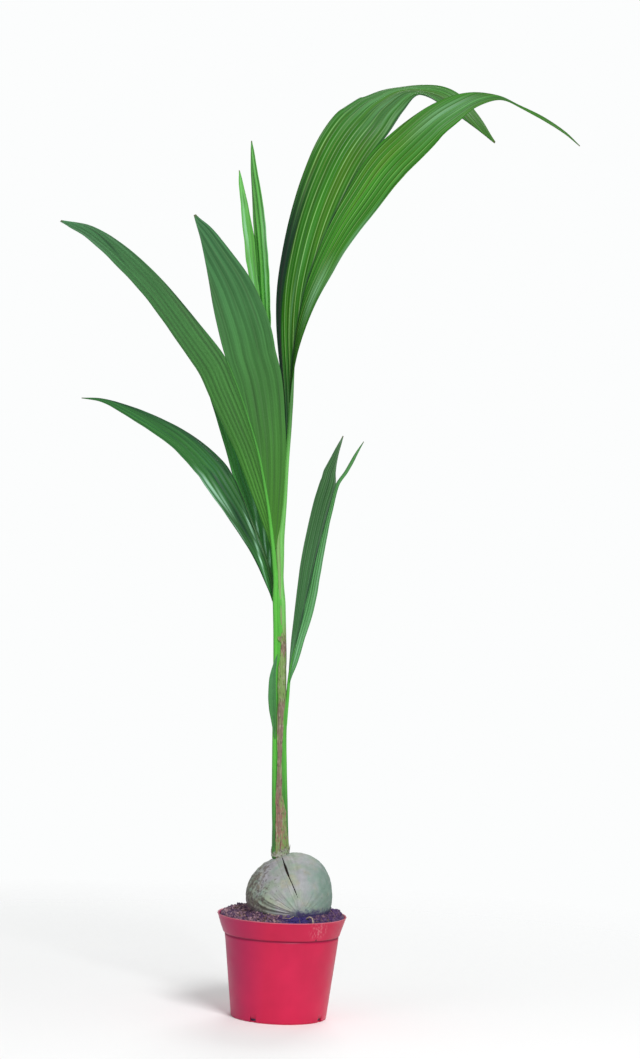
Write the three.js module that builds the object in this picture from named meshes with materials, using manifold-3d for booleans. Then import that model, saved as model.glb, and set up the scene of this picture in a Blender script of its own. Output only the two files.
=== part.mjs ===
// A young coconut palm in a plastic pot. It grows from a nut that lies half sunk in the potting soil.
// Millimetres, +Z up. The origin is the centre of the pot's flat underside, and the front looks along -Y.
// Each leaf is split in two from its tip down to a notch, as a seedling's leaf is, so it has two half
// blades on one rib. A half blade is a pleated strip that leaves an inner line, the rib and beyond it the
// free inner edge, and reaches outward by a width that swells and then narrows to the tip.

import Module from 'manifold-3d';
import * as THREE from 'three';
import { LoftGeometry } from 'three/addons/geometries/LoftGeometry.js';
import { mergeVertices } from 'three/addons/utils/BufferGeometryUtils.js';

// Clearances and fineness
const GAP = 0.3;
const SAME_POINT = 1e-4;
const POT_SIDES = 48;
const NUT_SIDES = 30;
const NUT_BANDS = 18;
const LIMB_SIDES = 10;
const LIMB_STEP = 45;
const BLADE_STEP = 34;

// Pot: an injection-moulded grower's pot with a flared rim
const POT_BASE_RADIUS = 70;
const POT_BAND_HEIGHT = 118;
const POT_WALL_RADIUS = 83;
const POT_BAND_RADIUS = 85;
const POT_RIM = [[86.5, 128], [89.5, 140], [95, 150]];
const POT_WALL = 2;
const POT_EDGE = 1;
const NOTCH_WIDTH = 10;
const NOTCH_HEIGHT = 6;
const NOTCH_ANGLES = [-31, 59, 149, 239];

// Potting soil
const SOIL_EDGE_HEIGHT = 143;
const SOIL_TOP_HEIGHT = 148;
const SOIL_MOUND_RADIUS = 45;

// Coconut in its husk: a blunt three-sided egg whose blossom end points to the front and down
const NUT_CENTRE = [9, 0, 176];
const NUT_AXIS = [0.24, -0.85, -0.47];
const NUT_HALF_LENGTH = 74;
const NUT_RADIUS = 62;
const NUT_RIDGE = 1.5;

// Trunk: the leaf sheaths rolled round each other, from the husk to where the last leaves part
const TRUNK_PATH = [
  [-6, 14, 219],
  [-8, 12, 242],
  [-12, 8, 316],
  [-15, 4, 405],
  [-18, 1, 478],
  [-22, 0, 552],
  [-25, 0, 610],
  [-27, 0, 645],
];
const TRUNK_RADII = [13.5, 11.4, 10.5, 10.5, 9.8, 9.2, 8.8, 8.6];

// Half blades
const BLADE_END_WIDTH = 1.6;
const BLADE_EDGE_THINNING = 0.5;
const BLADE_END_THINNING = 0.5;
const PLEAT_DEPTH = 0.3;
const THREAD_TAPER = 0.1;

// Leaves. A leaf's midline runs from the trunk up its stalk and rib to the notch. The rib starts where the
// stalk ends, stalkLength along it, and radii are the limb's at its foot, at the rib's start and at the
// notch. A half blade starts its own way along the midline and has its tail, the free inner edge beyond the
// notch. width is its greatest, widest the share of its length where that lies, and rise and fall the
// powers that shape it before and after. outward is the direction across it, at some shares of its length.
const RIGHT_LEAF = {
  midline: [
    [-23, 1.5, 645],
    [-23, 8, 728],
    [-24, 10, 816],
    [-23, 12, 901],
    [-20, 14, 978],
    [-10, 17, 1056],
    [9, 20, 1125],
    [36, 22, 1192],
  ],
  stalkLength: 180,
  radii: [3.6, 3.4, 1.8],
  halves: [
    {
      name: 'back',
      start: 182,
      tail: [
        [71, 30, 1258],
        [102, 40, 1306],
        [125, 54, 1344],
        [151, 70, 1371],
        [197, 92, 1353],
        [267, 120, 1314],
      ],
      width: 78,
      widest: 0.7,
      rise: 1.5,
      fall: 0.8,
      thickness: 6,
      pleats: 5,
      outward: [
        [0, -1, 0, 0],
        [0.68, -0.75, 0.1, 0.65],
        [0.81, -0.25, 0.93, 0.22],
        [0.88, 0.4, 0.75, 0.55],
        [1, 0.7, 0.5, 0.6],
      ],
      bend: 0.76,
    },
    {
      name: 'front',
      start: 256,
      tail: [
        [74, 18, 1264],
        [116, 10, 1306],
        [164, 0, 1342],
        [214, -12, 1359],
        [260, -26, 1357],
        [323, -44, 1325],
        [380, -60, 1286],
      ],
      width: 75,
      widest: 0.65,
      rise: 1,
      fall: 0.65,
      bodyEnd: 0.81,
      thread: 3.5,
      thickness: 6,
      pleats: 4,
      outward: [
        [0, 0.2, -1, 0],
        [0.2, 0.38, -0.92, -0.1],
        [0.4, 0.65, -0.7, -0.3],
        [0.55, 0.58, -0.6, -0.55],
        [0.7, 0.35, -0.55, -0.75],
        [0.8, 0.1, -0.5, -0.85],
      ],
      bend: 0.68,
    },
  ],
};

const FRONT_LEAF = {
  midline: [
    [-30.5, -4, 645],
    [-38, -8, 698],
    [-49, -13, 756],
    [-64, -20, 821],
    [-81, -28, 872],
    [-98, -37, 916],
    [-117, -46, 958],
  ],
  stalkLength: 22,
  radii: [4, 3.9, 2],
  halves: [
    {
      name: 'upright',
      start: 90,
      tail: [
        [-131, -56, 1012],
        [-143, -65, 1067],
        [-157, -73, 1121],
        [-171, -79, 1160],
      ],
      width: 75,
      widest: 0.56,
      rise: 1,
      fall: 0.75,
      thickness: 5,
      pleats: 4,
      outward: [
        [0, 0.97, 0.15, 0.1],
        [1, 0.97, 0.15, 0.1],
      ],
    },
    {
      name: 'left',
      start: 24,
      tail: [
        [-156, -62, 1005],
        [-208, -90, 1061],
        [-260, -122, 1105],
        [-306, -155, 1129],
        [-350, -190, 1132],
      ],
      width: 65,
      widest: 0.5,
      rise: 1,
      fall: 0.5,
      thickness: 6,
      pleats: 4,
      outward: [
        [0, -0.71, 0.7, -0.06],
        [0.3, -0.7, 0.7, -0.14],
        [0.6, -0.71, 0.68, -0.25],
        [0.85, -0.66, 0.65, -0.38],
        [1, -0.52, 0.6, -0.61],
      ],
    },
  ],
};

const LOWER_LEAF = {
  midline: [
    [-27, 6, 573],
    [-33, 12, 612],
    [-47, 16, 665],
    [-72, 24, 724],
    [-102, 34, 789],
  ],
  stalkLength: 34,
  radii: [3.6, 3.4, 1.8],
  halves: [
    {
      name: 'long',
      start: 36,
      tail: [
        [-127, 42, 818],
        [-166, 54, 845],
        [-217, 68, 869],
        [-268, 80, 888],
        [-304, 88, 897],
        [-336, 95, 898],
      ],
      width: 53,
      widest: 0.47,
      rise: 1.4,
      fall: 1,
      bodyEnd: 0.93,
      thread: 2.5,
      thickness: 5,
      pleats: 3,
      outward: [
        [0, -0.75, -0.66, -0.1],
        [0.26, -0.71, -0.68, -0.2],
        [0.5, -0.6, -0.68, -0.42],
        [0.73, -0.43, -0.68, -0.59],
        [1, -0.33, -0.68, -0.65],
      ],
    },
    {
      name: 'short',
      start: 50,
      tail: [
        [-115, 44, 834],
        [-127, 58, 871],
        [-142, 78, 914],
        [-162, 105, 975],
      ],
      width: 50,
      widest: 0.5,
      rise: 1,
      fall: 1,
      thickness: 4,
      pleats: 3,
      outward: [
        [0, 0.7, 0.7, 0.1],
        [1, 0.7, 0.7, 0.1],
      ],
    },
  ],
};

const SPEAR_LEAF = {
  midline: [
    [-30, 4.8, 645],
    [-39, 6, 756],
    [-50, 8, 874],
    [-57, 8, 932],
    [-65, 9, 1005],
    [-76, 10, 1079],
    [-85, 10, 1145],
  ],
  stalkLength: 288,
  radii: [3, 2.6, 1.6],
  halves: [
    {
      name: 'left',
      start: 290,
      tail: [
        [-93, 4, 1183],
        [-105, 0, 1217],
        [-111, -2, 1237],
      ],
      width: 26,
      widest: 0.7,
      rise: 1,
      fall: 0.8,
      thickness: 3.4,
      pleats: 2,
      outward: [
        [0, -0.55, -0.8, 0],
        [1, -0.55, -0.8, 0],
      ],
    },
    {
      name: 'right',
      start: 290,
      tail: [
        [-90, 14, 1196],
        [-94, 18, 1248],
        [-96, 20, 1284],
      ],
      width: 28,
      widest: 0.58,
      rise: 1,
      fall: 1,
      thickness: 3.6,
      pleats: 2,
      outward: [
        [0, 0.6, -0.8, 0],
        [1, 0.6, -0.8, 0],
      ],
    },
  ],
};

const SMALL_LEAF = {
  midline: [
    [-9, 2, 420],
    [-7, 6, 464],
    [-4, 10, 511],
    [9, 20, 582],
    [26, 36, 674],
    [41, 50, 745],
    [50, 57, 782],
  ],
  stalkLength: 68,
  radii: [3, 2.5, 1.5],
  halves: [
    {
      name: 'left',
      start: 70,
      tail: [
        [50, 62, 803],
        [53, 68, 828],
        [59, 74, 857],
      ],
      width: 24,
      widest: 0.6,
      rise: 1.1,
      fall: 1,
      thickness: 3.8,
      pleats: 2,
      outward: [
        [0, -0.95, -0.2, 0.2],
        [1, -0.95, -0.2, 0.2],
      ],
    },
    {
      name: 'right',
      start: 70,
      tail: [
        [65, 52, 805],
        [78, 46, 830],
        [89, 42, 849],
      ],
      width: 34,
      widest: 0.36,
      rise: 0.85,
      fall: 1,
      thickness: 3.8,
      pleats: 2,
      outward: [
        [0, 0.5, -0.85, 0],
        [1, 0.4, -0.9, 0],
      ],
    },
  ],
};

const FIRST_LEAF = {
  midline: [
    [-22, -4, 402],
    [-25, -10, 432],
    [-28, -14, 464],
    [-29, -12, 499],
    [-25, -9, 528],
  ],
  radii: [1.8, 1.8, 0.8],
  halves: [
    {
      start: 4,
      tail: [[-24.5, -8.6, 531]],
      width: 7,
      widest: 0.5,
      rise: 1,
      fall: 1,
      thickness: 1.8,
      pleats: 1,
      outward: [
        [0, -1, -0.2, 0],
        [1, -1, -0.2, 0],
      ],
    },
    {
      start: 4,
      tail: [[-24.5, -8.6, 531]],
      width: 8,
      widest: 0.5,
      rise: 1,
      fall: 1,
      thickness: 1.8,
      pleats: 1,
      outward: [
        [0, 0.85, -0.5, 0],
        [1, 0.85, -0.5, 0],
      ],
    },
  ],
};

// Materials: colour, roughness and metalness of each finish
const finish = (color, roughness) => new THREE.MeshStandardMaterial({ color, roughness, metalness: 0 });
const POT_PLASTIC = finish('#cf3857', 0.45);
const SOIL = finish('#4a3a44', 1);
const HUSK = finish('#9aa39a', 0.85);
const SHEATH = finish('#7d8a5c', 0.7);
const STALK_GREEN = finish('#7ec46a', 0.5);
const LEAF_GREEN = finish('#4a8542', 0.55);

const wasm = await Module();
wasm.setup();

const vector = (point) => new THREE.Vector3(...point);
const smoothCurve = (points) => new THREE.CatmullRomCurve3(points.map(vector), false, 'catmullrom', 0.5);

// A closed three.js geometry as a solid, without the seams and the faces that a fold of it has collapsed
function solidOf(geometry) {
  const bare = new THREE.BufferGeometry().copy(geometry);
  bare.deleteAttribute('normal');
  bare.deleteAttribute('uv');
  const merged = mergeVertices(bare, SAME_POINT);
  const corners = Array.from(merged.index.array);
  const kept = [];
  for (let i = 0; i < corners.length; i += 3) {
    const [a, b, c] = corners.slice(i, i + 3);
    if (a !== b && b !== c && c !== a) {
      kept.push(a, b, c);
    }
  }
  const mesh = new wasm.Mesh({
    numProp: 3,
    vertProperties: new Float32Array(merged.attributes.position.array),
    triVerts: new Uint32Array(kept),
  });
  return new wasm.Manifold(mesh);
}

// A solid's largest body as a named mesh
function piece(name, solid, material) {
  const bodies = solid.decompose();
  bodies.sort((a, b) => b.volume() - a.volume());
  const { numProp, vertProperties, triVerts } = bodies[0].getMesh();
  const positions = [];
  for (let i = 0; i < vertProperties.length; i += numProp) {
    positions.push(vertProperties[i], vertProperties[i + 1], vertProperties[i + 2]);
  }
  const geometry = new THREE.BufferGeometry();
  geometry.setAttribute('position', new THREE.Float32BufferAttribute(positions, 3));
  geometry.setIndex(Array.from(triVerts));
  geometry.computeVertexNormals();
  const mesh = new THREE.Mesh(geometry, material);
  mesh.name = name;
  return mesh;
}

// The value at a share of the way along a list of evenly spaced values
function along(values, share) {
  const place = share * (values.length - 1);
  const k = Math.min(Math.floor(place), values.length - 2);
  return THREE.MathUtils.lerp(values[k], values[k + 1], place - k);
}

// A tapering round limb along a curve, from one share of its length to another
function limb(curve, radii, grow = 0, from = 0, to = 1) {
  const steps = Math.max(2, Math.ceil((curve.getLength() * (to - from)) / LIMB_STEP));
  const sections = [];
  for (let i = 0; i <= steps; i++) {
    const share = from + ((to - from) * i) / steps;
    const centre = curve.getPointAt(share);
    const tangent = curve.getTangentAt(share);
    const side = new THREE.Vector3(1, 0, 0).addScaledVector(tangent, -tangent.x).normalize();
    const across = new THREE.Vector3().crossVectors(tangent, side);
    const radius = along(radii, i / steps) + grow;
    const ring = [];
    for (let j = 0; j < LIMB_SIDES; j++) {
      const angle = (2 * Math.PI * j) / LIMB_SIDES;
      const point = centre.clone().addScaledVector(side, radius * Math.cos(angle));
      ring.push(point.addScaledVector(across, radius * Math.sin(angle)));
    }
    sections.push(ring);
  }
  return solidOf(new LoftGeometry(sections, { capStart: true, capEnd: true }));
}

// The direction between the nearest two of a list of [share, x, y, z]
function directionAt(directions, share) {
  let k = 0;
  while (k < directions.length - 2 && share > directions[k + 1][0]) {
    k += 1;
  }
  const [from, ...a] = directions[k];
  const [to, ...b] = directions[k + 1];
  const mix = THREE.MathUtils.clamp((share - from) / (to - from), 0, 1);
  return vector(a).lerp(vector(b), mix);
}

// A half blade's width at a share of its length: a sine's rise, a cosine's fall and, on some, a thread
function widthAt(half, share) {
  const place = THREE.MathUtils.clamp(share / (half.bodyEnd ?? 1), 0, 1);
  if (place < half.widest) {
    const swell = Math.sin((Math.PI / 2) * (place / half.widest)) ** half.rise;
    return Math.max(half.width * swell, BLADE_END_WIDTH);
  }
  const narrowing = Math.cos((Math.PI / 2) * ((place - half.widest) / (1 - half.widest))) ** half.fall;
  const thread = (half.thread ?? 0) * Math.min(1, (1 - share) / THREAD_TAPER);
  return Math.max(half.width * narrowing, thread, BLADE_END_WIDTH);
}

// A half blade between two shares of its length: zigzag pleats across, thickest at the inner line and mid
// length. A grown one is larger by that much all round, to cut its neighbours clear of it.
function halfBlade(leaf, half, grow = 0, from = 0, to = 1) {
  const curve = smoothCurve([...leaf.midline, ...half.tail]);
  const length = curve.getLength();
  const start = half.start / length;
  const steps = Math.max(4, Math.ceil((length * (1 - start) * (to - from)) / BLADE_STEP));
  const folds = 2 * half.pleats;
  const sections = [];
  for (let i = 0; i <= steps; i++) {
    const share = from + ((to - from) * i) / steps;
    const origin = curve.getPointAt(start + (1 - start) * share);
    const tangent = curve.getTangentAt(start + (1 - start) * share);
    const outward = directionAt(half.outward, share);
    outward.addScaledVector(tangent, -tangent.dot(outward)).normalize();
    const face = new THREE.Vector3().crossVectors(tangent, outward);
    const width = widthAt(half, share);
    const thinning = Math.min(1, BLADE_END_THINNING + width / half.width);
    const under = [];
    const over = [];
    for (let j = 0; j <= folds; j++) {
      const across = j / folds;
      const reach = across * (width + 2 * grow) - grow;
      const fold = ((j % 2) - 0.5) * PLEAT_DEPTH * (width / folds);
      const thick = (half.thickness / 2) * thinning * (1 - BLADE_EDGE_THINNING * across) + grow;
      const middle = origin.clone().addScaledVector(outward, reach).addScaledVector(face, fold);
      under.push(middle.clone().addScaledVector(face, -thick));
      over.unshift(middle.clone().addScaledVector(face, thick));
    }
    sections.push([...under, ...over]);
  }
  return solidOf(new LoftGeometry(sections, { capStart: true, capEnd: true }));
}

// The pot: a turned wall with a step below its flared rim, and notches for drainage through its foot
function pot() {
  const wallFoot = POT_BASE_RADIUS - POT_WALL;
  const profile = [
    [0, 0],
    [POT_BASE_RADIUS - POT_EDGE, 0],
    [POT_BASE_RADIUS, POT_EDGE],
    [POT_WALL_RADIUS, POT_BAND_HEIGHT],
    [POT_BAND_RADIUS, POT_BAND_HEIGHT],
    ...POT_RIM,
    ...POT_RIM.map(([out, height]) => [out - POT_WALL, height]).reverse(),
    [POT_WALL_RADIUS - POT_WALL, POT_BAND_HEIGHT - POT_EDGE],
    [wallFoot, POT_WALL],
    [0, POT_WALL],
  ];
  const points = profile.map(([radius, height]) => new THREE.Vector2(radius, height));
  const turned = new THREE.LatheGeometry(points, POT_SIDES);
  turned.rotateX(Math.PI / 2);
  let solid = solidOf(turned);
  for (const degrees of NOTCH_ANGLES) {
    const angle = THREE.MathUtils.degToRad(degrees);
    const cutter = new THREE.BoxGeometry(NOTCH_WIDTH, 4 * POT_WALL, 2 * NOTCH_HEIGHT);
    cutter.translate(0, -POT_BASE_RADIUS, 0);
    cutter.rotateZ(angle);
    solid = solid.subtract(solidOf(cutter));
  }
  return solid;
}

// The potting soil fills the pot to a low mound round the nut
function soil() {
  const footHeight = POT_WALL + GAP;
  const slope = (POT_WALL_RADIUS - POT_BASE_RADIUS) / (POT_BAND_HEIGHT - POT_EDGE);
  const radiusAt = (height) => POT_BASE_RADIUS - POT_WALL + slope * (height - POT_WALL) - 2 * GAP;
  const points = [
    new THREE.Vector2(0, footHeight),
    new THREE.Vector2(radiusAt(footHeight), footHeight),
    new THREE.Vector2(radiusAt(POT_BAND_HEIGHT - 2 * POT_EDGE), POT_BAND_HEIGHT - 2 * POT_EDGE),
    new THREE.Vector2(radiusAt(SOIL_EDGE_HEIGHT), SOIL_EDGE_HEIGHT),
    new THREE.Vector2(SOIL_MOUND_RADIUS, SOIL_TOP_HEIGHT),
    new THREE.Vector2(0, SOIL_TOP_HEIGHT),
  ];
  const turned = new THREE.LatheGeometry(points, POT_SIDES);
  turned.rotateX(Math.PI / 2);
  return solidOf(turned);
}

// The coconut: a ball drawn out along its axis, with three low ridges from end to end
function nut(grow = 0) {
  const ball = new THREE.SphereGeometry(1, NUT_SIDES, NUT_BANDS);
  const place = ball.attributes.position;
  for (let i = 0; i < place.count; i++) {
    const [x, y, z] = [place.getX(i), place.getY(i), place.getZ(i)];
    const around = Math.atan2(z, x);
    const radius = NUT_RADIUS + NUT_RIDGE * Math.cos(3 * around) + grow;
    place.setXYZ(i, radius * x, (NUT_HALF_LENGTH + grow) * y, radius * z);
  }
  const turn = new THREE.Quaternion();
  turn.setFromUnitVectors(new THREE.Vector3(0, 1, 0), vector(NUT_AXIS).normalize());
  ball.applyQuaternion(turn);
  ball.translate(...NUT_CENTRE);
  return solidOf(ball);
}

const plant = new THREE.Group();
plant.add(piece('pot', pot(), POT_PLASTIC));
plant.add(piece('potting_soil', soil().subtract(nut(GAP)), SOIL));
plant.add(piece('coconut', nut(), HUSK));

// The grown trunk reaches a gap above the real one, so that what stands on its top is cut clear of it too
const trunkLine = smoothCurve(TRUNK_PATH);
const trunkGap = GAP / trunkLine.getLength();
const trunk = limb(trunkLine, TRUNK_RADII, 0, 0, 1 - 2 * trunkGap);
const grownTrunk = limb(trunkLine, TRUNK_RADII, GAP, 0, 1 - trunkGap);
plant.add(piece('trunk', trunk.subtract(nut(GAP)), SHEATH));

// A leaf's stalk stands on the trunk. The rib is one solid with the first half blade, and the second half
// blade lies clear of both.
function addLeaf(name, leaf) {
  const midline = smoothCurve(leaf.midline);
  const gap = GAP / midline.getLength();
  const [foot, ribFoot, notch] = leaf.radii;
  const ribStart = leaf.stalkLength / midline.getLength();
  const stalk = limb(midline, [foot, ribFoot], 0, 0, ribStart - gap);
  plant.add(piece(`${name}_stalk`, stalk.subtract(grownTrunk), STALK_GREEN));
  const rib = limb(midline, [ribFoot, notch], 0, ribStart, 1 - gap);
  const grownRib = limb(midline, [ribFoot, notch], GAP, ribStart, 1);
  const [first, second] = leaf.halves;
  addHalf(name, leaf, first, (solid) => solid.add(rib).subtract(grownTrunk));
  const keepClear = grownTrunk.add(grownRib).add(halfBlade(leaf, first, GAP, -gap));
  addHalf(name, leaf, second, (solid) => solid.subtract(keepClear));
}

// A half blade that bends right over is two pieces, parted at the bend
function addHalf(name, leaf, half, finishBase) {
  const fullName = `${name}_${half.name}`;
  if (half.bend === undefined) {
    plant.add(piece(fullName, finishBase(halfBlade(leaf, half)), LEAF_GREEN));
    return;
  }
  const gap = GAP / smoothCurve([...leaf.midline, ...half.tail]).getLength();
  const base = finishBase(halfBlade(leaf, half, 0, 0, half.bend - gap));
  plant.add(piece(`${fullName}_base`, base, LEAF_GREEN));
  plant.add(piece(`${fullName}_tip`, halfBlade(leaf, half, 0, half.bend + gap, 1), LEAF_GREEN));
}

addLeaf('right_leaf', RIGHT_LEAF);
addLeaf('front_leaf', FRONT_LEAF);
addLeaf('lower_leaf', LOWER_LEAF);
addLeaf('spear_leaf', SPEAR_LEAF);
addLeaf('small_leaf', SMALL_LEAF);

// The first leaf is a short blade that lies along the trunk, with both halves and the rib in one
const firstRib = limb(smoothCurve(FIRST_LEAF.midline), FIRST_LEAF.radii);
const firstHalves = FIRST_LEAF.halves.map((half) => halfBlade(FIRST_LEAF, half));
const firstLeaf = firstHalves.reduce((sum, half) => sum.add(half), firstRib);
plant.add(piece('first_leaf', firstLeaf.subtract(grownTrunk), LEAF_GREEN));

export default plant;
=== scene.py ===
"""A young coconut palm in its pot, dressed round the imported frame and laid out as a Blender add-on.

Each leaf is split from its tip down to a notch, so it has two half blades on one rib. The leaf tables
repeat the frame's own rule in millimetres: a midline up the stalk and rib, and for each half blade the free
inner edge beyond the notch, a width that swells and narrows, and the direction it reaches outward. The
sheets here are as thin as a leaf, with pleats, veins and rolled margins. Shapes are grids of points worked
out as arrays.
"""

import bmesh
import bpy
import numpy as np
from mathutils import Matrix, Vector


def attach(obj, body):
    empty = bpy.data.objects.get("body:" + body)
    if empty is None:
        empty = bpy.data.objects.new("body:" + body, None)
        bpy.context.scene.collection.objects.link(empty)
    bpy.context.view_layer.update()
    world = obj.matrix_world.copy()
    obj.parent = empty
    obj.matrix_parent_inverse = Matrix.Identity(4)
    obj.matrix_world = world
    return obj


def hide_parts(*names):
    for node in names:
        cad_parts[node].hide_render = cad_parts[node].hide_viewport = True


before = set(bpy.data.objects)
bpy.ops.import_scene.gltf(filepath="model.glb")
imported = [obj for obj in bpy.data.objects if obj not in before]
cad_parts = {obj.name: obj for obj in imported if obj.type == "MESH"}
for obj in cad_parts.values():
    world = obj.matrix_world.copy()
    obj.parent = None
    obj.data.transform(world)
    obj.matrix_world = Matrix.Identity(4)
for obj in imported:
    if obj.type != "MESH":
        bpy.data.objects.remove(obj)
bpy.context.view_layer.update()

bl_info = {
    "name": "Potted coconut palm",
    "version": (1, 0, 0),
    "blender": (4, 5, 0),
    "location": "3D View > Sidebar > Palm",
    "description": "Dresses the packed frame of a young coconut palm in its pot",
    "category": "Add Mesh",
}

MM = 0.001
BODY = "root"
SEED = 7

# Pot, in millimetres, its rim and lip as (radius, height)
POT_BASE_RADIUS = 70
POT_WALL_RADIUS = 83.6
POT_BAND_RADIUS = 85.6
POT_BAND_HEIGHT = 122.6
POT_RIM = [(86.5, 126), (88, 130), (89.9, 135.5), (91.5, 140.5), (93.1, 145.4), (94.2, 148.6)]
POT_LIP = [(94.8, 149.3), (94.5, 150), (93.7, 150), (93, 149.2)]
POT_WALL = 2
POT_SIDES = 240
# The groove under the band, from the wall's radius and the band's height
POT_GROOVE = [(-0.5, -2.7), (-0.7, -1.4), (-0.5, -0.2)]
# How far the rim is out of round, as a thin pot's is
RIM_ASIDE = -1.1
NOTCH_ANGLES = (-31, 59, 149, 239)
NOTCH_WIDTH = 10
NOTCH_HEIGHT = 6

# Compost
COMPOST_EDGE_RADIUS = 91.5
COMPOST_TOP_HEIGHT = 148
COMPOST_HEAP = 10
COMPOST_BACK_RISE = 5

# The middle of the indigo shadow painted on the compost at the nut's foot, in metres, and its colour
NUT_SHADOW_SPOT = (0.022, -0.074, 0.151)
SHADOW_INDIGO = "#2e2672"

# Coconut in its husk
NUT_CENTRE = (10.9, 0, 176)
NUT_AXIS = (0.165, -0.961, -0.218)
NUT_HALF_LENGTH = 74
NUT_RADIUS = 62.8
NUT_RIDGE = 3.2
NUT_RIDGE_TURN = 17
CRACK_DEPTH = 4.5
CRACK = [
    (-5.7, 4, 234.9), (-0.8, -30, 227.7), (5.8, -51.7, 214.5), (13.5, -64.4, 200.3), (20.9, -70.9, 184.9),
]

# Trunk: where the rolled sheaths run, and how thick they are together
TRUNK_PATH = [
    (-6, 14, 219), (-8, 12, 242), (-12, 8, 316), (-15, 4, 405), (-18, 1, 478), (-22, 0, 552), (-25, 0, 610),
    (-27, 0, 645),
]
TRUNK_RADII = (13.5, 11.4, 10.5, 10.5, 9.8, 9.2, 8.8, 8.6)
TRUNK_START = 0.03

# How far a petiole on the trunk runs on inside its leaf's stalk
PETIOLE_OVERLAP = 12
# How far a stalk's ends are drawn in where they join another
STALK_TUCK = 0.6

# The brown sheath round the trunk's front: its two edges at each height, in degrees rightward from the
# front, its top and its thickness
STRIP_HEIGHTS = (215, 262, 285, 302, 318, 332, 353, 404, 435, 455, 479, 511, 523, 548, 553, 565)
STRIP_LEFT = (-31, -29, -30, -30, -33, -26, -20, -21, -28, -21, -19, -15, 0, 12, -20, -20)
STRIP_RIGHT = (95, 80, 85, 52, 30, 19, 16, 19, 31, 42, 60, 69, 80, 90, 90, 90)
STRIP_TOP = 562
STRIP_THICKNESS = 0.8

# The papery scales round the shoot's foot
SCALES = 26
SCALE_FOOT = 233
SCALE_THICKNESS = 0.5

# The thin sheath between the front leaf's stalk and the right leaf's, and its radius by its length
MEMBRANE = [
    (-20.5, -6.5, 566), (-21, -7, 581), (-23, -5.4, 603), (-27, -3, 647), (-30, -1.8, 677),
    (-32, -1.5, 707), (-31, -1, 724), (-30, -0.5, 735), (-29, 0, 748),
]
MEMBRANE_RADII = [
    (0, 0.4), (0.08, 1.3), (0.2, 2), (0.44, 2.8), (0.6, 3.6), (0.77, 3.9), (0.87, 2.8), (0.93, 1.6),
    (1, 0.4),
]

# Half blades: the grid, the least width, how the veins part, how sharp the pleats are, the ridges' width as
# a share of their spacing and their height, how steeply a turned margin bends, and the dry tip's length
BLADE_ROWS = 230
COLUMNS_TO_A_VEIN = 10
END_WIDTH = 0.5
VEIN_SPREAD = 0.5
PLEAT_SHARPNESS = 0.96
RIDGE_WIDTH = 0.15
RIDGE_HEIGHT = 0.15
MARGIN_BEND = 1.1
DRY_TIP = 5
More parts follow.
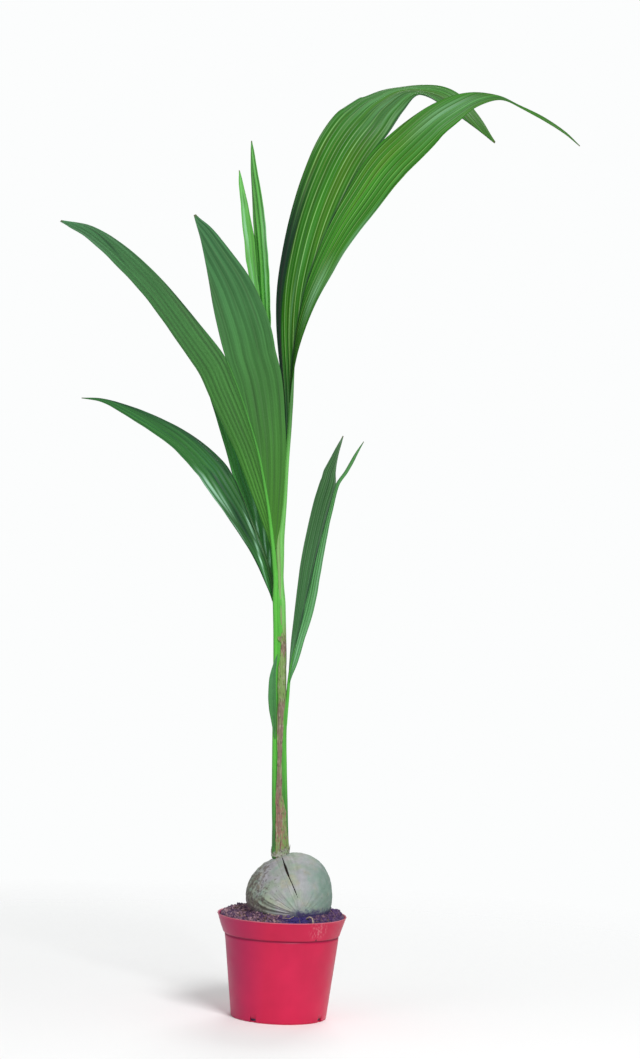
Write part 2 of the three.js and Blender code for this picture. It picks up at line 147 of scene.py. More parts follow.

# The leaves, in millimetres. A leaf has points up its midline and up the petiole on the trunk, radii as
# (run up the midline, radius), a shift as (run, x, y), and dull as (share, how far the limb has the blade's
# green). Each half blade has the run where it starts, a tail of points from the notch to its tip, and these
# tables by the share of its length: edges as (share, inner edge, outer edge), outward as (share, direction)
# and light as (share, brightness painted into its colour). A list of patches of painted highlight has each
# as (share, place across, half length, half width, amount, lean), and an amount below 0 is painted shade.
# upper is the side its upper face is on, turned the share of its width that is bent back and painted in
# shade, shaded the share in painted shade at the free edge, and pleats how deep the pleats are.
RIGHT_LEAF = {
    "midline": [
        (-23, 1.5, 645), (-23, 8, 728), (-24, 10, 816), (-23, 12, 901), (-20, 14, 978), (-10, 17, 1056),
        (9, 20, 1125), (36, 22, 1192),
    ],
    "petiole": [(-17, 1, 515), (-17.5, -1, 550), (-19.4, -1.8, 580), (-21.5, -1.2, 612)],
    "petiole_radius": 5.3,
    "dry_foot": 0.7,
    "shift": [
        (0, -3, 0), (55, -4.6, 0), (83, -2.8, 0), (112, -0.5, 0), (170, 1, 0), (215, 2.2, 0), (260, 2.2, 1),
        (300, 1.2, 4), (340, 0, 5.5), (560, 0, 4),
    ],
    "radii": [
        (0, 5.6), (20, 6), (50, 5.9), (83, 4.8), (110, 3.6), (170, 3.3), (215, 3.4), (260, 3.4), (340, 2.6),
        (560, 1.5),
    ],
    "pale": 0.7,
    "dull": [(0, 0), (0.3, 0.05), (0.42, 0.75), (1, 0.8)],
    "halves": [
        {
            "name": "back",
            "nodes": ("right_leaf_back_base", "right_leaf_back_tip"),
            "start": 182,
            "tail": [
                (71, 30, 1258), (102, 40, 1306), (125, 54, 1344), (151, 70, 1371), (197, 92, 1353),
                (268, 120, 1310),
            ],
            "edges": [
                (0, 0, 0.5), (0.05, 0, 4), (0.1, 0, 9), (0.17, 0, 18), (0.24, 0, 30), (0.31, 0, 40.5),
                (0.38, 0, 50), (0.45, 0, 60), (0.52, 0, 69), (0.59, 0, 77.2), (0.66, -2.5, 81.7),
                (0.7, -3.3, 81), (0.74, -3.2, 84.5), (0.78, -2.2, 79.5), (0.82, -1, 75.6), (0.87, 0, 57.5),
                (0.91, 1, 44), (0.94, 1.4, 28), (0.97, 1.5, 17), (0.99, 0.5, 5), (1, 0, 0.5),
            ],
            "outward": [
                (0, -1, 0, 0), (0.6, -0.804, 0.071, 0.414), (0.66, -0.66, 0.211, 0.57),
                (0.7, -0.748, 0.329, 0.482), (0.74, -0.904, 0.539, 0.206), (0.78, -0.805, 0.684, 0.183),
                (0.82, -0.269, 0.88, 0.267), (0.85, 0.069, 0.898, 0.403), (0.88, 0.329, 0.784, 0.589),
                (1, 0.7, 0.5, 0.6),
            ],
            "upper": 1,
            "veins": 8,
            "turned": 0.29,
            "shaded": 0.06,
            "highlight_and_shade": [
                (0.05, 0.6, 0.18, 0.9, -0.85), (0.3, 0.35, 0.2, 0.1, 0.12), (0.77, 0.5, 0.17, 1.2, 0.18),
            ],
            "light": [(0, 0.95), (0.3, 0.95), (0.6, 0.93), (0.8, 0.78), (1, 0.8)],
        },
        {
            "name": "front",
            "nodes": ("right_leaf_front_base", "right_leaf_front_tip"),
            "start": 256,
            "tail": [
                (74, 18, 1264), (116, 10, 1306), (164, 0, 1342), (214, -12, 1359), (259, -26, 1355),
                (290, -35, 1343), (326, -45, 1328), (356, -52, 1309), (381, -60, 1286),
            ],
            "edges": [
                (0, 0, 0.5), (0.02, 0, 4.5), (0.05, 0, 11), (0.1, 0, 21), (0.17, 0, 38.5), (0.24, 0, 56.5),
                (0.31, 0, 65), (0.38, 0, 69), (0.45, 0, 78), (0.52, 0, 79.5), (0.59, -3, 73),
                (0.66, -2, 64), (0.73, -5, 46.5), (0.76, -5.2, 31), (0.775, -6, 21), (0.79, -6.6, 9.5),
                (0.805, -5.9, 2.6), (0.82, -5.5, -2.3), (0.85, -3.8, -0.8), (0.88, -2.1, 3.5),
                (0.91, -0.7, 5.6), (0.94, -0.3, 5.5), (0.97, -1, 2.8), (0.99, -0.8, 1.6), (1, 0, 0.5),
            ],
            "outward": [
                (0, 0.2, -1, 0), (0.2, 0.45, -0.88, -0.1), (0.4, 0.65, -0.7, -0.3),
                (0.55, 0.58, -0.6, -0.55), (0.7, 0.35, -0.55, -0.75), (0.8, 0.1, -0.5, -0.85),
            ],
            "upper": -1,
            "veins": 9,
            "highlight_and_shade": [
                (0.22, 0.6, 0.1, 0.35, 0.5), (0.3, 0.97, 0.2, 0.1, 0.5), (0.08, 0.3, 0.1, 0.2, -0.4),
                (0.7, 0.45, 0.14, 0.5, 0.35), (0.83, 0.5, 0.05, 0.9, -0.35),
            ],
            "light": [(0, 1.08), (0.3, 1.15), (0.6, 1.08), (0.85, 0.9), (1, 0.62)],
        },
    ],
}

FRONT_LEAF = {
    "midline": [
        (-30.5, -4, 645), (-38, -8, 698), (-49, -13, 756), (-64, -20, 821), (-81, -28, 872),
        (-98, -37, 916), (-117, -46, 958),
    ],
    "petiole": [
        (-14, 7.5, 230), (-19, 2, 300), (-22.5, -1, 400), (-25, -5, 480), (-27.5, -6, 560),
        (-30, -5.5, 610),
    ],
    "petiole_radius": 3.9,
    "shift": [(0, -1.5, 0), (54, -1, 0), (113, 0, 0), (330, 0, -0.6)],
    "radii": [(0, 3.6), (54, 2.7), (113, 2.1), (180, 1.7), (330, 1.1)],
    "pale": 0.1,
    "dull": [(0, 0), (0.3, 0.1), (0.65, 0.55), (1, 0.75)],
    "halves": [
        {
            "name": "upright",
            "nodes": ("front_leaf_upright",),
            "start": 40,
            "tail": [(-131, -56, 1012), (-143, -65, 1067), (-157, -73, 1121), (-171, -79, 1160)],
            "edges": [
                (0, 0, 0.5), (0.028, 0, 8), (0.06, 0, 12.5), (0.118, 0, 20.5), (0.19, 0, 30),
                (0.253, 0, 37), (0.315, 0, 46), (0.38, 0, 54.5), (0.44, 0, 62.5), (0.505, 0, 69.5),
                (0.568, 0, 74), (0.63, -1.5, 75.3), (0.694, -2.8, 71.3), (0.757, -3.5, 64),
                (0.82, -2.8, 51.5), (0.882, -2.3, 35.6), (0.946, -1.3, 20), (0.972, -1.2, 12.5),
                (0.99, -0.6, 5), (1, 0, 0.5),
            ],
            "outward": [(0, 0.97, 0.15, 0.1), (1, 0.97, 0.15, 0.1)],
            "upper": 1,
            "veins": 6,
            "light": [(0, 1.05), (1, 1.03)],
        },
        {
            "name": "left",
            "nodes": ("front_leaf_left",),
            "start": 24,
            "tail": [
                (-156, -62, 1005), (-208, -90, 1061), (-260, -122, 1105), (-306, -155, 1129),
                (-350, -190, 1132),
            ],
            "edges": [
                (0, 0, 0.5), (0.05, 0, 10), (0.1, 0, 20), (0.17, 0, 33), (0.24, 0, 45), (0.31, 0, 54),
                (0.38, 0, 61.5), (0.45, 0, 66), (0.52, 0.5, 64.5), (0.59, 0.9, 58), (0.66, 1, 52),
                (0.73, 0.8, 47.5), (0.8, 1.4, 43.5), (0.87, 2, 35.5), (0.94, 1, 20.5), (0.97, 0, 12.4),
                (0.99, 0, 5), (1, 0, 0.5),
            ],
            "outward": [
                (0, -0.71, 0.7, -0.06), (0.3, -0.7, 0.7, -0.14), (0.6, -0.71, 0.68, -0.25),
                (0.85, -0.66, 0.65, -0.38), (1, -0.52, 0.6, -0.61),
            ],
            "upper": -1,
            "veins": 7,
            "pleats": 0.4,
            "shaded": 0.1,
            "highlight_and_shade": [
                (0.86, 0.41, 0.12, 0.1, -0.55, -3.1), (0.9, 0.9, 0.12, 0.3, 0.25),
                (0.93, 0.1, 0.2, 0.15, 0.2), (0.62, 0, 0.13, 0.05, -0.7),
            ],
            "light": [(0, 1.58), (0.4, 1.64), (0.7, 1.75), (1, 2.1)],
        },
    ],
}

LOWER_LEAF = {
    "midline": [(-27, 6, 573), (-33, 12, 612), (-47, 16, 665), (-72, 24, 724), (-102, 34, 789)],
    "petiole": [(-20, 7, 480), (-23, 5, 530)],
    "petiole_radius": 3.6,
    "shift": [(0, 0, 0), (60, 0, 1.5), (230, 0, 1.5)],
    "radii": [(0, 3.6), (230, 1.8)],
    "pale": 0,
    "dull": [(0, 0.5), (0.12, 0.95), (1, 1)],
    "halves": [
        {
            "name": "long",
            "nodes": ("lower_leaf_long",),
            "start": 36,
            "tail": [
                (-127, 42, 818), (-166, 54, 845), (-217, 68, 869), (-268, 80, 888), (-304, 88, 897),
                (-336, 95, 898),
            ],
            "edges": [
                (0, 0, 3), (0.02, 0, 6.5), (0.05, 0, 10.5), (0.1, 0, 16.8), (0.17, 0, 24), (0.24, 0, 33),
                (0.31, 0, 43.5), (0.38, 0, 54), (0.43, 0, 58), (0.52, -1.4, 53.8), (0.59, -2.9, 45.8),
                (0.66, -4.5, 36.5), (0.73, -4.7, 29.5), (0.8, -3.9, 23), (0.87, -1.9, 14),
                (0.92, -1.2, 7.5), (0.96, -1, 4.2), (0.99, -0.4, 2), (1, 0, 0.5),
            ],
            "outward": [
                (0, -0.75, -0.66, -0.1), (0.26, -0.71, -0.68, -0.2), (0.5, -0.6, -0.68, -0.42),
                (0.73, -0.43, -0.68, -0.59), (1, -0.33, -0.68, -0.65),
            ],
            "upper": 1,
            "veins": 6,
            "shaded": 0.34,
            "pleats": 0.5,
            "highlight_and_shade": [
                (0.24, 0.19, 0.1, 0.09, 0.6, -0.6), (0.13, 0.51, 0.1, 0.14, 0.85, -3.4),
                (0.18, 0.05, 0.06, 0.06, 0.6), (0.1, 0.97, 0.14, 0.2, -0.8), (0.24, 0.92, 0.08, 0.07, 0.45),
                (0.4, 0.86, 0.14, 0.07, 0.75, 0.3), (0.38, 0.98, 0.16, 0.05, 0.5),
                (0.34, 0.72, 0.1, 0.06, 0.4), (0.27, 0.55, 0.13, 0.2, -0.7),
                (0.42, 0.55, 0.12, 0.1, -0.55, 1.3), (0.7, 0.35, 0.25, 0.2, -0.3),
            ],
            "light": [(0, 2.2), (0.1, 1.4), (0.22, 0.76), (0.5, 1.14), (1, 1.15)],
        },
        {
            "name": "short",
            "nodes": ("lower_leaf_short",),
            "start": 50,
            "tail": [(-115, 44, 834), (-127, 58, 871), (-142, 78, 914), (-162, 105, 975)],
            "edges": [
                (0, 0, 0.5), (0.05, 0, 8), (0.1, 0, 15.5), (0.17, 0, 25.5), (0.24, 0, 34.5),
                (0.38, 0, 46.5), (0.52, 0, 50), (0.59, -2.8, 48), (0.66, -3.8, 43.7), (0.73, -4, 37.4),
                (0.8, -5, 29.5), (0.87, -4, 19.5), (0.94, -2, 9.3), (1, 0, 0.5),
            ],
            "outward": [(0, 0.7, 0.7, 0.1), (1, 0.7, 0.7, 0.1)],
            "upper": -1,
            "veins": 6,
            "pleats": 0.6,
            "highlight_and_shade": [
                (0.38, 0.48, 0.1, 0.1, 0.35, 0.9), (0.32, 0.4, 0.08, 0.08, 1, 1.9),
                (0.25, 0.17, 0.05, 0.1, 1.6, 3.2), (0.19, 0.36, 0.07, 0.11, 2, 3.4),
                (0.12, 0.42, 0.05, 0.14, 2, 4.5), (0.3, 0.7, 0.2, 0.12, -0.4),
            ],
            "light": [(0, 2), (0.3, 2.6), (0.5, 3), (1, 2.5)],
        },
    ],
}

SPEAR_LEAF = {
    "midline": [
        (-30, 4.8, 645), (-39, 6, 756), (-50, 8, 874), (-57, 8, 932), (-65, 9, 1005), (-76, 10, 1079),
        (-85, 10, 1145),
    ],
    "petiole": [(-27, 5, 610)],
    "petiole_radius": 2.8,
    "shift": [(0, 0, 0), (290, 0, 0), (400, 0, 1.5), (500, 0, 1.5)],
    "radii": [(0, 2.9), (288, 2.5), (505, 1.5)],
    "pale": 0.3,
    "dull": [(0, 0), (0.4, 0.05), (1, 0.5)],
    "halves": [
        {
            "name": "left",
            "nodes": ("spear_leaf_left",),
            "start": 290,
            "tail": [(-93, 4, 1183), (-105, 0, 1217), (-111, -2, 1237)],
            "edges": [
                (0, 0, 0.5), (0.1, 0, 5.8), (0.24, 0, 13.5), (0.38, 0, 19.8), (0.45, 0, 22.8),
                (0.52, 0, 25.4), (0.59, 0, 28), (0.66, 0.5, 29), (0.73, 4, 28.8), (0.8, 4.8, 25.4),
                (0.87, 2.3, 19), (0.94, -1, 10), (0.97, -1.5, 5.8), (1, 0, 0.5),
            ],
            "outward": [(0, -0.55, -0.8, 0), (1, -0.55, -0.8, 0)],
            "upper": 1,
            "veins": 3,
            "highlight_and_shade": [
                (0.72, 0.75, 0.2, 0.22, 0.85), (0.45, 0.7, 0.25, 0.12, 0.6), (0.55, 0.35, 0.3, 0.12, -0.45),
                (0.86, 0.5, 0.06, 0.4, -0.35),
            ],
            "light": [(0, 1.2), (1, 1.15)],
        },
        {
            "name": "right",
            "nodes": ("spear_leaf_right",),
            "start": 290,
            "tail": [(-90, 14, 1196), (-94, 18, 1248), (-96, 20, 1284)],
            "edges": [
                (0, 0, 0.5), (0.1, 0, 9), (0.17, 0, 15), (0.24, 0, 20), (0.31, 0, 22.5), (0.38, 0, 25),
                (0.45, 0, 28.4), (0.52, 0, 30.2), (0.59, 0, 30.6), (0.66, -1.2, 28.3), (0.73, -0.8, 25),
                (0.8, -1.2, 19.6), (0.87, -2.4, 13.8), (0.94, -1.7, 8.4), (0.97, -1.6, 5.4),
                (0.99, -1, 2.2), (1, 0, 0.5),
            ],
            "outward": [(0, 0.6, -0.8, 0), (1, 0.6, -0.8, 0)],
            "upper": -1,
            "veins": 3,
            "highlight_and_shade": [
                (0.58, 0.9, 0.2, 0.28, 0.9), (0.42, 0.68, 0.2, 0.12, 0.7), (0.52, 0.22, 0.22, 0.2, -0.5),
                (0.2, 0.4, 0.2, 0.12, 0.5),
            ],
            "light": [(0, 1.7), (0.4, 1.85), (0.7, 1.2), (1, 1.15)],
        },
    ],
}

SMALL_LEAF = {
    "midline": [
        (-9, 2, 420), (-7, 6, 464), (-4, 10, 511), (9, 20, 582), (26, 36, 674), (41, 50, 745),
        (50, 57, 782),
    ],
    "petiole": [(2, 10, 240), (-2, 5, 300), (-6, 1, 360)],
    "petiole_radius": 3,
    "shift": [(0, 0, 0), (70, 0, 0.5), (150, 0, 2), (400, 0, 1.5)],
    "radii": [(0, 3), (68, 2.3), (380, 1.4)],
    "pale": 0.1,
    "dull": [(0, 0), (0.2, 0.1), (1, 0.8)],
    "halves": [
        {
            "name": "left",
            "nodes": ("small_leaf_left",),
            "start": 70,
            "tail": [(50, 62, 803), (53, 68, 828), (59, 74, 857)],
            "edges": [
                (0, 0, 0.5), (0.05, 0, 2.6), (0.1, 0, 5), (0.17, 0, 9.2), (0.24, 0, 12.2), (0.31, 0, 15.3),
                (0.38, 0, 18), (0.45, 0, 20.8), (0.52, 0, 22.4), (0.59, 0, 23.5), (0.66, 0, 24.4),
                (0.73, 0, 25.2), (0.8, 0, 24.8), (0.83, 0.1, 22.4), (0.86, 0.3, 17.4), (0.89, 0.4, 12.8),
                (0.94, 0.2, 7.4), (0.98, -0.3, 3.6), (1, 0, 0.5),
            ],
            "outward": [(0, -0.95, -0.2, 0.2), (1, -0.95, -0.2, 0.2)],
            "upper": 1,
            "veins": 4,
            "highlight_and_shade": [(0.1, 0.5, 0.12, 0.3, 0.4)],
            "light": [(0, 1.2), (0.3, 1.04), (1, 1)],
        },
        {
            "name": "right",
            "nodes": ("small_leaf_right",),
            "start": 70,
            "tail": [(65, 52, 805), (78, 46, 830), (89, 42, 849)],
            "edges": [
                (0, 0, 1), (0.02, 0, 6.5), (0.05, 0, 14.5), (0.1, 0, 19.5), (0.17, 0, 22), (0.24, 0, 26.5),
                (0.31, 0, 30.5), (0.38, 0, 29.6), (0.45, 0, 26), (0.52, 0, 21.5), (0.59, 0, 18),
                (0.66, 0, 15.6), (0.73, 0, 14.5), (0.8, -1, 14), (0.87, -4, 9), (0.94, -3.5, 7),
                (0.98, -1.5, 3.5), (1, 0, 0.5),
            ],
            "outward": [(0, 0.5, -0.85, 0), (1, 0.4, -0.9, 0)],
            "upper": -1,
            "veins": 4,
            "highlight_and_shade": [
                (0.1, 0.45, 0.15, 0.35, 0.5), (0.4, 0.8, 0.35, 0.25, 0.45), (0.2, 0.15, 0.2, 0.15, 0.3),
            ],
            "light": [(0, 2.9), (0.4, 2.7), (1, 2.4)],
        },
    ],
}

FIRST_LEAF = {
    "midline": [(-22, -4, 402), (-25, -10, 432), (-28, -14, 464), (-29, -12, 499), (-25, -9, 528)],
    "halves": [
        {
            "name": "left",
            "start": 4,
            "tail": [(-24.5, -8.6, 531)],
            "edges": [
                (0, 0, 0.5), (0.15, 0, 3), (0.35, 0, 6.2), (0.5, 0, 7), (0.7, 0, 5.8), (0.9, 0, 2.4),
                (1, 0, 0.5),
            ],
            "outward": [(0, -1, -0.2, 0), (1, -1, -0.2, 0)],
            "upper": -1,
            "veins": 2,
        },
        {
            "name": "right",
            "start": 4,
            "tail": [(-24.5, -8.6, 531)],
            "edges": [
                (0, 0, 0.5), (0.15, 0, 3), (0.35, 0, 5.6), (0.5, 0, 6), (0.7, 0, 5), (0.9, 0, 2.2),
                (1, 0, 0.5),
            ],
            "outward": [(0, 0.85, -0.5, 0), (1, 0.85, -0.5, 0)],
            "upper": 1,
            "veins": 2,
        },
    ],
}

LEAVES = {
    "right_leaf": RIGHT_LEAF,
    "front_leaf": FRONT_LEAF,
    "lower_leaf": LOWER_LEAF,
    "spear_leaf": SPEAR_LEAF,
    "small_leaf": SMALL_LEAF,
}

# Each leaf's greens as sRGB: the upper face at its base and tip, the under face at its base and tip, the
# veins, the second hue of some pleats and the painted highlight. Then how plainly the veins show, how far
# the pleats' tones differ, and how strongly the blade reflects
LEAF_GREENS = {
    "right_leaf": (
        "#2a6e14", "#387820", "#3f7f3c", "#477a4a", "#9fd480", "#4c6a14", "#a6dcb4",
        0.6, 0.38, 0.35,
    ),
    "front_leaf": (
        "#3a7a30", "#3f7a42", "#467e2c", "#43744c", "#5f9a50", "#41603c", "#a6dcb4",
        0.14, 0.16, 0.16,
    ),
    "lower_leaf": (
        "#31652f", "#346a34", "#3a6a40", "#3f6c44", "#5f9f5c", "#1f5540", "#c8ffe0",
        0.25, 0.34, 0.2,
    ),
    "spear_leaf": (
        "#549640", "#62ac54", "#549640", "#62ac54", "#a4e09c", "#5c8c2c", "#a6dcb4",
        0.5, 0.3, 0.35,
    ),
    "small_leaf": (
        "#3f6e42", "#3b6638", "#426a42", "#42684a", "#62a066", "#35583c", "#a6dcb4",
        0.35, 0.3, 0.35,
    ),
    "first_leaf": (
        "#5aa24e", "#5a9556", "#4a8c44", "#4e8c56", "#6aae60", "#3f7a48", "#a6dcb4",
        0.3, 0.3, 0.35,
    ),
}

# The stage, in metres, and how far the camera leans over, in degrees
CAMERA_PLACE = (0.030, -4.0, 0.716)
CAMERA_ROLL = -2.5
FLOOR_RADIUS = 1.6


def linear(code):
    """The linear values of an sRGB hex colour"""
    parts = np.array([int(code[k:k + 2], 16) for k in (1, 3, 5)]) / 255
    return tuple(np.where(parts <= 0.04045, parts / 12.92, ((parts + 0.055) / 1.055) ** 2.4))


def opaque(colour):
    """The four values of a colour with full alpha, from its hex code or its linear values"""
    values = linear(colour) if isinstance(colour, str) else colour
    return (*tuple(values)[:3], 1.0)


# Settings


class PotSettings(bpy.types.PropertyGroup):
    """Size and colour of the pot's wall"""

    wall: bpy.props.FloatProperty(
        name="Wall", description="Thickness of the moulded wall", default=POT_WALL * MM, unit="LENGTH"
    )
    colour: bpy.props.FloatVectorProperty(
        name="Plastic", description="Colour of the moulded plastic", default=linear("#c91f4a"),
        subtype="COLOR",
    )


class CompostSettings(bpy.types.PropertyGroup):
    """How much lies on the compost, and its colours"""

    crumbs: bpy.props.IntProperty(
        name="Crumbs", description="How many crumbs lie on the compost", default=2400
    )
    fibres: bpy.props.IntProperty(
        name="Fibres", description="How many loose fibres lie on the compost", default=60
    )
    dark: bpy.props.FloatVectorProperty(
        name="Damp", description="Colour of the damp hollows", default=linear("#452c52"), subtype="COLOR"
    )
    light: bpy.props.FloatVectorProperty(
        name="Dry", description="Colour of the dry crumbs", default=linear("#b08c92"), subtype="COLOR"
    )


class NutSettings(bpy.types.PropertyGroup):
    """Relief and colours of the husk"""

    fibre_depth: bpy.props.FloatProperty(
        name="Fibre relief", description="Depth of the folds near the blossom end", default=1.5 * MM,
        unit="LENGTH",
    )
    crack_width: bpy.props.FloatProperty(
        name="Crack", description="Width of the crack at its middle", default=4.2 * MM, unit="LENGTH"
    )
    husk: bpy.props.FloatVectorProperty(
        name="Husk", description="Main colour of the husk", default=linear("#939f90"), subtype="COLOR"
    )
    bare: bpy.props.FloatVectorProperty(
        name="Worn husk", description="Colour where the skin is worn off", default=linear("#a8a4ac"),
        subtype="COLOR",
    )


class TrunkSettings(bpy.types.PropertyGroup):
    """Colours of the sheaths"""

    living: bpy.props.FloatVectorProperty(
        name="Living sheath", description="Colour of the green sheaths", default=linear("#58b83e"),
        subtype="COLOR",
    )
    dry: bpy.props.FloatVectorProperty(
        name="Dry sheath", description="Colour of the fibrous brown sheath", default=linear("#84705f"),
        subtype="COLOR",
    )


class LeafSettings(bpy.types.PropertyGroup):
    """Sizes of the leaves' sheets"""

    sheet: bpy.props.FloatProperty(
        name="Sheet", description="Thickness of a half blade", default=0.7 * MM, unit="LENGTH"
    )
    pleat_depth: bpy.props.FloatProperty(
        name="Pleat depth", description="Depth of a pleat as a share of its width", default=0.26,
        subtype="FACTOR",
    )
    ripple: bpy.props.FloatProperty(
        name="Ripple", description="How far the outer edge waves to each side", default=1.0 * MM,
        unit="LENGTH",
    )


class StageSettings(bpy.types.PropertyGroup):
    """The floor, the lights and the camera"""

    floor: bpy.props.FloatVectorProperty(
        name="Floor", description="Colour of the floor", default=linear("#fcfcfc"), subtype="COLOR"
    )
    key: bpy.props.FloatProperty(
        name="Key light", description="Power of the large light at the front", default=150, unit="POWER"
    )
    sky: bpy.props.FloatProperty(
        name="Sky", description="Strength of the even light from all round", default=0.36, subtype="FACTOR"
    )
    lens: bpy.props.FloatProperty(name="Lens", description="Focal length", default=92.7, unit="CAMERA")


# Curves, grids and pieces


class Line:
    """A smooth line through points. Between two of them it is a cubic whose slope at each is half the step
    from the point before to the point after, with the end points reflected. Places on it are shares of its
    length."""

    FINENESS = 200

    def __init__(self, points):
        self.points = np.array(points, float)
        places = np.linspace(0, len(points) - 1, self.FINENESS * (len(points) - 1) + 1)
        steps = np.linalg.norm(np.diff(self.cubic(places), axis=0), axis=1)
        run = np.concatenate([[0], np.cumsum(steps)])
        self.length = run[-1]
        self.places, self.shares = places, run / run[-1]

    def cubic(self, places):
        """Points at places counted in whole points along the line"""
        p = self.points
        p = np.vstack([2 * p[0] - p[1], p, 2 * p[-1] - p[-2]])
        k = np.clip(places.astype(int), 0, len(self.points) - 2)
        w = (places - k)[:, None]
        before, here, there, after = p[k], p[k + 1], p[k + 2], p[k + 3]
        rise, leave = (there - before) / 2, (after - here) / 2
        square = 3 * (there - here) - 2 * rise - leave
        cube = 2 * (here - there) + rise + leave
        return here + w * (rise + w * (square + w * cube))

    def point(self, share):
        """Points at shares of the length"""
        return self.cubic(np.interp(share, self.shares, self.places))

    def slope(self, share):
        """Unit directions along the line at shares of its length"""
        step = 0.002
        ahead = self.point(np.clip(share + step, 0, 1)) - self.point(np.clip(share - step, 0, 1))
        return unit(ahead)


def unit(vectors):
    """Vectors brought to length one"""
    return vectors / np.linalg.norm(vectors, axis=-1, keepdims=True)


def eased(low, high, value):
    """0 below low, 1 above high, and a smooth step between"""
    t = np.clip((value - low) / (high - low), 0, 1)
    return t * t * (3 - 2 * t)


def hump(middle, half, value):
    """1 at the middle, falling to 0 at half a width to either side and beyond"""
    return 1 - eased(0, half, np.abs(value - middle))


def angles(count):
    """Angles evenly round a full turn"""
    return np.linspace(0, 2 * np.pi, count, endpoint=False)


def closed_turns(angle):
    """Angles as shares of a full turn, and the first once more at the end"""
    return np.append(angle, angle[0] + 2 * np.pi) / (2 * np.pi)


def blurred(values, reach=6):
    """Rows smoothed by a running mean over some of their neighbours"""
    padded = np.pad(values, ((reach, reach), (0, 0)), mode="edge")
    weights = np.ones(2 * reach + 1) / (2 * reach + 1)
    return np.stack([np.convolve(column, weights, "valid") for column in padded.T], -1)


def from_table(table, share):
    """The columns of a table read between its rows, whose first column is the share, and smoothed"""
    table = np.array(table, float)
    read = np.stack([np.interp(share, table[:, 0], column) for column in table.T[1:]], -1)
    return blurred(read)


def ripple(value, seed, waves=6):
    """A smooth irregular wave between about -1 and 1: a sum of sines of rising frequency and any phase"""
    random = np.random.default_rng(seed)
    total = 0
    for k in range(1, waves + 1):
        frequency = k * random.uniform(0.75, 1.25)
        total = total + np.sin(2 * np.pi * (frequency * value + random.random())) / k
    return total / 1.6


def lumps(points, size, seed, waves=24):
    """Smooth random lumps of about a given size in space: a sum of plane waves in random directions"""
    random = np.random.default_rng(seed)
    directions = unit(random.normal(size=(waves, 3))) * random.uniform(0.6, 1.5, (waves, 1))
    phases = random.uniform(0, 2 * np.pi, waves)
    waves_there = np.sin(points @ directions.T * (2 * np.pi / size) + phases)
    return waves_there.sum(-1) / np.sqrt(waves)


class Shell:
    """A closed surface: its points in metres, its triangles, each triangle corner's place on the pattern
    map, and named values at its points."""

    def __init__(self, points, triangles, places, values):
        self.points, self.triangles, self.places, self.values = points, triangles, places, values
        a, b, c = (points[triangles[:, k]] for k in range(3))
        if np.einsum("ij,ij->i", a, np.cross(b, c)).sum() < 0:
            self.triangles, self.places = triangles[:, ::-1], places[:, ::-1]


def grid_shell(points, across, along, ring=False, **values):
    """A shell from a grid of points in millimetres, [row, column, xyz], whose columns join up round it. A
    ring joins its last row to its first, and otherwise both ends are closed with a fan. across and along
    are the corners' places on the pattern map, with one column more than points, and on a ring one row
    more."""
    rows, columns = points.shape[:2]
    row, column = np.meshgrid(np.arange(rows if ring else rows - 1), np.arange(columns), indexing="ij")
    corners = [(row, column), (row, column + 1), (row + 1, column + 1), (row + 1, column)]
    index = np.stack([(r % rows) * columns + c % columns for r, c in corners], -1).reshape(-1, 4)
    place = np.stack([np.stack([across[r, c], along[r, c]], -1) for r, c in corners], -2).reshape(-1, 4, 2)
    triangles = [index[:, [0, 1, 2]], index[:, [0, 2, 3]]]
    places = [place[:, [0, 1, 2]], place[:, [0, 2, 3]]]
    flat = points.reshape(-1, 3) * MM
    values = {name: np.broadcast_to(value, (rows, columns)).ravel() for name, value in values.items()}
    if not ring:
        for end, turn in ((0, 1), (rows - 1, -1)):
            here = end * columns + np.arange(columns)
            beside = np.roll(here, -1)
            middle = np.full(columns, len(flat))
            triangles.append(np.stack([beside, here, middle][::turn], -1))
            edge = np.stack([across[end, :columns], along[end, :columns]], -1)
            places.append(np.repeat(edge[:, None], 3, 1))
            flat = np.vstack([flat, points[end].mean(0)[None] * MM])
            values = {name: np.append(value, value[here].mean()) for name, value in values.items()}
    return Shell(flat, np.vstack(triangles), np.vstack(places), values)


def tube(line, radii, sides, steps, start=0, wobble=None, shift=None, tuck=0, **values):
    """A round limb along a line from a share of it to its end. radii is a table of (share of the limb,
    radius), and shift one of (share of the limb, x, y). wobble, a function of angle and share, is added to
    the radius. The last few millimetres at each end are drawn in by the tuck, to hide them in the limb they
    join."""
    way = np.linspace(0, 1, steps)
    share = start + (1 - start) * way
    centre, slope = line.point(share), line.slope(share)
    if shift is not None:
        centre[:, :2] += from_table(shift, way)
    side = unit(np.array([1.0, 0, 0]) - slope * slope[:, :1])
    other = np.cross(slope, side)
    angle = angles(sides)
    radius = from_table(radii, way)
    if wobble is not None:
        radius = radius + wobble(angle[None], way[:, None])
    from_end = np.minimum(way, 1 - way)[:, None] * (1 - start) * line.length
    radius = radius - tuck * np.exp(-(from_end / 4) ** 2)
    ring = side[:, None] * np.cos(angle)[None, :, None] + other[:, None] * np.sin(angle)[None, :, None]
    points = centre[:, None] + ring * np.broadcast_to(radius, (steps, sides))[..., None]
    across, along = np.meshgrid(np.linspace(0, 1, sides + 1), share * line.length / 100)
    return grid_shell(points, across, along, **values)


def carried_round(radius, height, angle):
    """A profile carried round the upright axis: a row of points for each of its radii and heights"""
    return np.stack([radius * np.cos(angle), radius * np.sin(angle), height + 0 * angle], -1)


def two_faces(front, back):
    """The columns of a sheet's front followed by those of its back in turn, which closes it like a tube"""
    return np.concatenate([front, back[:, ::-1]], 1)


def there_and_back(value):
    """Places on the pattern map for such a sheet: its columns, and the same ones back to the first"""
    return np.concatenate([value, value[:, ::-1], value[:, :1]], 1)


